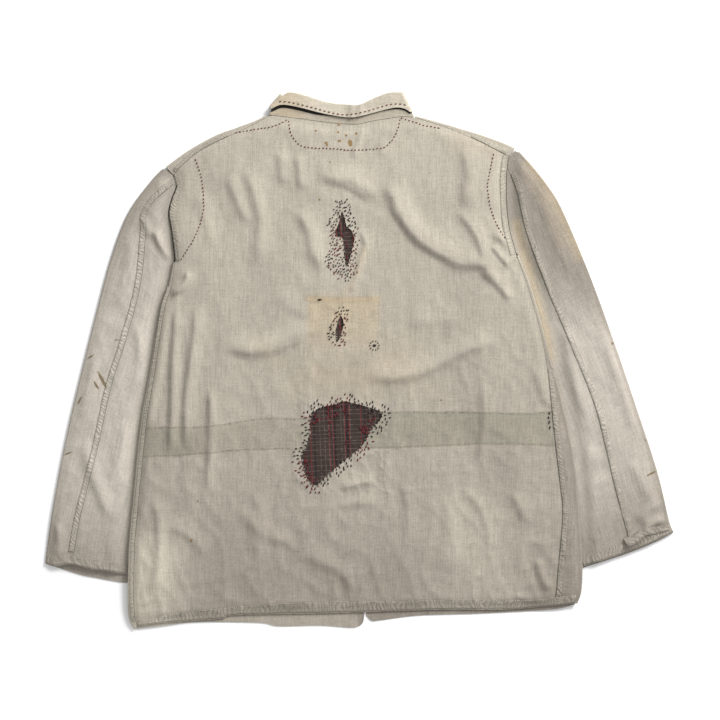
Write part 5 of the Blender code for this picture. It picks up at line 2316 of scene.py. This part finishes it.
@dataclass
class HandStitching:
    """The running and seed stitches of the mends, in dark red and black thread."""

    lift: float = 0.45 * MM
    arch: tuple[float, ...] = (-0.1, 0.8, 1.0, 0.8, -0.1)  # a stitch's rise from end to end
    running_pitch: float = 5.4
    running_dash: float = 2.9
    running_width: float = 1.6
    collar_pitch: float = 6.6
    collar_dash: float = 3.6
    collar_width: float = 1.45
    mend_width: float = 1.75
    mend_rows: tuple[float, ...] = (0.6, 5.5, 10.5)  # how far from the large tear each row lies
    inner_dash: float = 3.6
    darn_middle: tuple[float, float] = (22.3, 21.8)
    darn_radius: float = 6.8
    darn_dots: int = 10
    darn_half: float = 1.9
    pinhole: list[Line] = field(default_factory=lambda: [
        [(-63, 90), (-57.5, 90.6)], [(-61, 91.4), (-56, 90.2)]])
    thread_ends: list[Line] = field(default_factory=lambda: [
        [(283, -77), (284.5, -82)], [(282, -84), (283.5, -88)], [(284, -90), (283, -96)],
        [(285, -98), (284, -104)]])
    neck_line: Line = field(default_factory=lambda: [
        (-106, 360), (-104, 343), (-97, 330), (-81, 319), (-30, 316), (-14, 314), (32, 317), (43, 323),
        (52, 334), (58, 348), (61, 362)])
    shoulder_lines: list[Line] = field(default_factory=lambda: [
        [(-187, 340), (-163, 344), (-129, 350), (-108, 360)], [(61, 363), (80, 357), (98, 351), (121, 347)]])
    armhole_lines: list[Line] = field(default_factory=lambda: [
        [(-246, 302), (-237, 275), (-234, 252), (-233, 233), (-236, 212), (-244, 189), (-253, 172),
         (-268, 149)],
        [(201, 310), (196, 286), (192, 263), (194, 237), (198, 222), (204, 206), (212, 191), (219, 181)]])
    leaf_line: Line = field(default_factory=lambda: [
        (-122, 387), (-106, 386), (-87, 382), (-64, 376), (-41, 370), (-22, 367), (-10, 368), (9, 372),
        (29, 378), (48, 383), (63, 383), (71, 381)])

    def dashes(self, line: Array, pitch: float, dash: float) -> Array:
        """The ends of a running stitch's dashes along a line. Sizes are in millimetres.

        Args:
            line: The line that is sewn.
            pitch: Space from one dash to the next.
            dash: A dash's length.

        Returns:
            The two ends of each dash.
        """
        count = max(2, int(length_of(line) / (pitch * MM)))
        spots = resample(line, count * 8)
        share = dash / pitch * 4
        starts = np.arange(count) * 8 + 4
        index = np.arange(len(spots))
        ends = [np.column_stack([np.interp(k, index, spots[:, c]) for c in (0, 1)])
                for k in (starts - share, starts + share)]
        return np.stack(ends, axis=1)

    def sew(self, name: str, dashes: Array, host: Height, colour: ThreadColour, width: float,
            slot: str = "back_cloth") -> bpy.types.Object:
        """Makes stitches that dip into the cloth at both ends.

        Args:
            name: The new piece's name.
            dashes: The two ends of each stitch.
            host: The height of the cloth that they are sewn on.
            colour: The thread.
            width: The thread's width, in millimetres.
            slot: The frame's slot for the piece.

        Returns:
            All the stitches as one piece.
        """
        t = np.linspace(0, 1, len(self.arch))[None, :, None]
        flat = dashes[:, :1] * (1 - t) + dashes[:, 1:] * t
        arch = np.array(self.arch)[None] * self.lift
        made = TubeSet(name, level(flat, host(flat) + arch), width / 2 * MM).build()
        return dress(made, THREADS[colour], slot)

    def running(self) -> list[bpy.types.Object]:
        """The running stitches at the neck, shoulders and armholes.

        Returns:
            Their one piece.
        """
        lines = [self.neck_line] + self.shoulder_lines + self.armhole_lines
        sewn = [self.dashes(curve(line, 80), self.running_pitch, self.running_dash) for line in lines]
        dashes = np.concatenate(sewn)
        dashes = dashes + np.random.default_rng(5).normal(0, 0.3 * MM, dashes.shape)
        return [self.sew("running_stitches", dashes, FORM.top, ThreadColour.RED, self.running_width)]

    def on_collar(self, host: Height) -> bpy.types.Object:
        """The running stitch just above the leaf's edge."""
        dashes = self.dashes(curve(self.leaf_line, 80), self.collar_pitch, self.collar_dash)
        return self.sew("collar_stitches", dashes, host, ThreadColour.RED, self.collar_width, "collar_cloth")

    def scatter(self, ends: Array, way: Array, dash: float, seed: int) -> Array:
        """Dashes at places and along ways, each a little off.

        Args:
            ends: The dashes' middles.
            way: The way that each runs.
            dash: A dash's length, in millimetres.
            seed: Seed of the unevenness.

        Returns:
            The two ends of each dash.
        """
        random = np.random.default_rng(seed)
        way = way + random.normal(0, 0.22, way.shape)
        way /= np.linalg.norm(way, axis=1)[:, None]
        ends = ends + random.normal(0, 1.1 * MM, ends.shape)
        half = dash / 2 * MM * random.uniform(0.7, 1.25, (len(ends), 1))
        return np.stack([ends - way * half, ends + way * half], axis=1)

    def rings(self, tear: Line, offsets: tuple[float, ...], pitch: float, dash: float, seed: int) -> Array:
        """Staggered rows of dashes round a tear, each along the warp or the weft.

        Args:
            tear: The tear's edge.
            offsets: How far out each row lies, in millimetres.
            pitch: Space between dashes along a row.
            dash: A dash's length.
            seed: Seed of the unevenness.

        Returns:
            The two ends of each dash.
        """
        random = np.random.default_rng(seed)
        edge = closed_curve(tear, 240)
        made = []
        for k, offset in enumerate(offsets):
            wide = edge + offset * MM * outward(edge)
            wide = wide[distance(wide, edge) > 0.86 * offset * MM]
            spots = resample(wide, 2 * int(length_of(wide) / (pitch * MM)))[k % 2 :: 2]
            spots = spots[random.uniform(0, 1, len(spots)) < 1.0 - 0.16 * k]
            _, _, gap = nearest(spots, edge)
            upright = np.abs(gap[:, 1]) > 0.55 * np.abs(gap[:, 0])
            way = np.where(upright[:, None], (0.0, 1.0), (1.0, 0.0))
            made.append(self.scatter(spots, way, dash, seed + k))
        return np.concatenate(made)

    def seeded(self, region: Line, tear: Line, spacing: float, dash: float, seed: int, over: float) -> Array:
        """Short seed stitches scattered over a region.

        Args:
            region: The region's edge.
            tear: The edge of the tear in it.
            spacing: Space between stitches, in millimetres.
            dash: A stitch's length.
            seed: Seed of the unevenness.
            over: How far into the tear they may lie.

        Returns:
            The two ends of each stitch.
        """
        ring, hole = np.array(region, float) * MM, closed_curve(tear, 80)[:-1]
        low, high = ring.min(0), ring.max(0)
        across = [np.arange(low[k], high[k], spacing * MM) for k in (0, 1)]
        places = np.stack(np.meshgrid(*across), axis=-1)
        places[1::2, :, 0] += spacing / 2 * MM
        places = places.reshape(-1, 2)
        places = places[inside(places, ring) & (signed(places, hole) < over * MM)]
        turn = np.random.default_rng(seed).normal(0, 0.7, len(places))
        return self.scatter(places, np.column_stack([np.sin(turn), np.cos(turn)]), dash, seed)

    def by_colour(self, dashes: Array, zones: list[tuple[float, float, ThreadColour]],
                  seed: int) -> dict[ThreadColour, Array]:
        """Dashes split by colour, each taking the colour of its nearest zone.

        Args:
            dashes: The two ends of each dash.
            zones: Places with their colours.
            seed: Seed of the unevenness.

        Returns:
            The dashes by colour.
        """
        middle = dashes.mean(1) / MM
        middle = middle + np.random.default_rng(seed).normal(0, 2.6, middle.shape)
        places = np.array([z[:2] for z in zones])
        best = np.linalg.norm(middle[:, None] - places, axis=-1).argmin(1)
        colours = np.array([zones[k][2].value for k in best])
        return {c: dashes[colours == c.value] for c in (ThreadColour.RED, ThreadColour.BLACK)}

    def mends(self) -> list[bpy.types.Object]:
        """The seed stitches round and through the three tears, and the small darn.

        Returns:
            The pieces.
        """
        sets = {
            "large": self.rings(TEARS["large"], self.mend_rows, pitch=6.2, dash=4.3, seed=11),
            "upper": self.seeded(UPPER_FIELD, TEARS["upper"], spacing=4.4, dash=2.7, seed=12, over=0.8),
            "small": self.seeded(SMALL_FIELD, TEARS["small"], spacing=4.2, dash=2.5, seed=13, over=-1.2),
        }
        made = []
        for name, dashes in sets.items():
            for colour, some in self.by_colour(dashes, ZONES[name], seed=3).items():
                made.append(self.sew(f"{name}_mend_{colour.value}", some, FORM.top, colour, self.mend_width))
        return made + self.through() + self.darns()

    def through(self) -> list[bpy.types.Object]:
        """The clusters of stitches sewn through the patches.

        Returns:
            The pieces.
        """
        made = []
        for colour in (ThreadColour.RED, ThreadColour.BLACK):
            found = []
            for k, cluster in enumerate(c for c in CLUSTERS if c.colour is colour):
                random = np.random.default_rng(40 + k)
                spread = np.array(cluster.spread)
                places = (np.array(cluster.centre) + random.normal(0, 1, (cluster.count, 2)) * spread) * MM
                way = np.tile((0.0, 1.0) if cluster.upright else (1.0, 0.0), (cluster.count, 1))
                found.append(self.scatter(places, way, self.inner_dash, 60 + k))
            dashes = np.concatenate(found)
            held = [signed(dashes.mean(1), closed_curve(tear, 90)[:-1]) > 1.2 * MM
                    for tear in TEARS.values()]
            dashes = dashes[np.any(held, axis=0)]
            name = f"patch_stitches_{colour.value}"
            made.append(self.sew(name, dashes, patch_top, colour, self.running_width))
        return made

    def darns(self) -> list[bpy.types.Object]:
        """The round darn in its ring of dots, a mended pinhole, and thread ends at the strip's right.

        Returns:
            The one piece.
        """
        centre = np.array(self.darn_middle) * MM
        turn = np.arange(self.darn_dots) / self.darn_dots * 2 * np.pi
        way = np.column_stack([np.cos(turn), np.sin(turn)])
        ring = centre + self.darn_radius * MM * way
        dots = np.stack([ring - 0.9 * MM * way, ring + 0.9 * MM * way], axis=1)
        step = np.linspace(-1.5, 1.5, 4)[:, None] * MM
        low, high = (centre + np.hstack([step, np.full_like(step, end * MM)])
                     for end in (-self.darn_half, self.darn_half))
        loose = np.array(self.pinhole + self.thread_ends) * MM
        dashes = np.concatenate([dots, np.stack([low, high], axis=1), loose])
        return [self.sew("round_darn", dashes, FORM.top, ThreadColour.BLACK, 1.8)]


@dataclass
class Fraying:
    """Loose yarn ends at the torn edges."""

    counts: dict[str, int] = field(default_factory=lambda: {"upper": 40, "small": 18, "large": 130})

    def build(self) -> bpy.types.Object:
        """All the yarn ends as one piece.

        Returns:
            The piece.
        """
        random = np.random.default_rng(21)
        paths = []
        for name, count in self.counts.items():
            edge = closed_curve(TEARS[name], 300)
            inward = -outward(edge)
            pick = random.integers(0, len(edge), count)
            way = inward[pick] + random.normal(0, 0.45, (count, 2))
            way /= np.linalg.norm(way, axis=1)[:, None]
            long = random.uniform(1.2, 4.2, (count, 1, 1)) * MM
            bend = random.normal(0, 0.35, (count, 1, 1))
            t = np.linspace(0, 1, 5)[None, :, None]
            side = np.stack([-way[:, 1], way[:, 0]], axis=-1)[:, None]
            start = edge[pick][:, None] - way[:, None] * 0.6 * MM
            flat = start + long * (t * way[:, None] + t * t * bend * side)
            z = FORM.top(flat) + np.array([0.1, 0.15, -0.1, -0.35, -0.55])[None] * MM
            paths.append(level(flat, z))
        made = TubeSet("yarn_ends", np.concatenate(paths), 0.16 * MM, 4).build()
        return dress(made, THREADS[ThreadColour.PALE], "back_cloth")


# ---------------------------------------------------------------- the room


@dataclass
class Studio:
    """A pale floor under soft light, and the camera straight above."""

    lens: float = 133.33
    sensor: float = 36.0
    height: float = 4.0
    aim: tuple[float, float] = (0.00075, 0.00015)
    floor_half: float = 4.0
    floor_drop: float = 0.2 * MM
    key_place: tuple[float, float, float] = (2.6, 3.0, 2.1)
    key_size: float = 1.8
    key_power: float = 330.0
    fill: float = 0.66

    def build(self) -> None:
        """Makes the floor, the lights and the camera."""
        scene = bpy.context.scene
        corners = np.array([(-1, -1, 0), (1, -1, 0), (1, 1, 0), (-1, 1, 0)], float) * self.floor_half
        corners[:, 2] = -self.floor_drop
        floor = make_object("floor", corners, [np.array([[0, 1, 2, 3]])])
        floor.data.materials.append(PaperFloor().build())
        self.lamp("key", self.key_place, self.key_size, self.key_power)
        world = bpy.data.worlds.new("world")
        world.use_nodes = True
        background = world.node_tree.nodes["Background"]
        background.inputs["Color"].default_value = (1, 1, 1, 1)
        background.inputs["Strength"].default_value = self.fill
        scene.world = world
        scene.view_settings.view_transform = "Standard"
        camera = bpy.data.cameras.new("camera")
        camera.lens, camera.sensor_width = self.lens, self.sensor
        camera.clip_start, camera.clip_end = 0.1, 30
        made = bpy.data.objects.new("camera", camera)
        made.location = (*self.aim, self.height)
        scene.collection.objects.link(made)
        scene.camera = made

    def lamp(self, name: str, place: tuple[float, float, float], size: float, power: float) -> None:
        """One square soft lamp aimed at the jacket.

        Args:
            name: Its name.
            place: Where it hangs.
            size: The side of its square.
            power: Its power in watts.
        """
        light = bpy.data.lights.new(name, "AREA")
        light.shape, light.size, light.energy = "SQUARE", size, power
        made = bpy.data.objects.new(name, light)
        made.location = place
        away = np.array(place)
        flat = math.hypot(away[0], away[1])
        made.rotation_euler = (0, math.atan2(flat, away[2]), math.atan2(away[1], away[0]))
        bpy.context.scene.collection.objects.link(made)


@dataclass(frozen=True)
class Cut:
    """The flat cut of one cloth piece: width and length in metres, and its area where not a rectangle."""

    width: float
    length: float
    area: float
    rests_on: tuple[str, ...]


CUTS = {
    "back_panel_cloth": Cut(0.64, 0.76, 0.406, ("front_left", "front_right")),
    "front_left_cloth": Cut(0.37, 0.80, 0.226, ("sleeve_left_inner",)),
    "front_right_cloth": Cut(0.36, 0.78, 0.217, ("sleeve_right_inner",)),
    "sleeve_left_inner_cloth": Cut(0.24, 0.50, 0.092, ()),
    "sleeve_left_outer_cloth": Cut(0.17, 0.63, 0.073, ()),
    "sleeve_right_inner_cloth": Cut(0.23, 0.49, 0.079, ()),
    "sleeve_right_outer_cloth": Cut(0.20, 0.62, 0.087, ()),
    "collar_stand_cloth": Cut(0.44, 0.036, 0.0146, ("back_panel",)),
    "collar_leaf_cloth": Cut(0.46, 0.045, 0.0156, ("collar_stand",)),
}


def declare(pieces: list[bpy.types.Object], extras: dict[str, list[bpy.types.Object]]) -> None:
    """Looks up the flat cut of each cloth piece and, where there is one, what is sewn on it, and leaves both
    unused.

    Args:
        pieces: The cloth pieces.
        extras: What is sewn on each, by its name.
    """
    for piece in pieces:
        cut = CUTS.get(piece.name)
        if cut:
            extras.get(piece.name, [])


def main() -> None:
    """Builds the jacket piece by piece, then the room."""
    logging.basicConfig(level=logging.INFO, format="%(name)s %(message)s")
    back = Back().build()
    Patches().build()
    fronts = [Front(side).build() for side in Side]
    sleeves = {side: Sleeve(side).build() for side in Side}
    collar = Collar().build()
    hand = HandStitching()
    sewn = back[1:] + hand.running() + hand.mends() + [Fraying().build()]
    extras = {"back_panel_cloth": sewn, "collar_leaf_cloth": [hand.on_collar(Collar().leaf_top)]}
    for side, pieces in sleeves.items():
        extras[f"sleeve_{side.value}_inner_cloth"] = pieces[2:]
    declare([back[0]] + fronts + [p for s in sleeves.values() for p in s[:2]] + collar, extras)
    Studio().build()


if __name__ == "__main__":
    main()
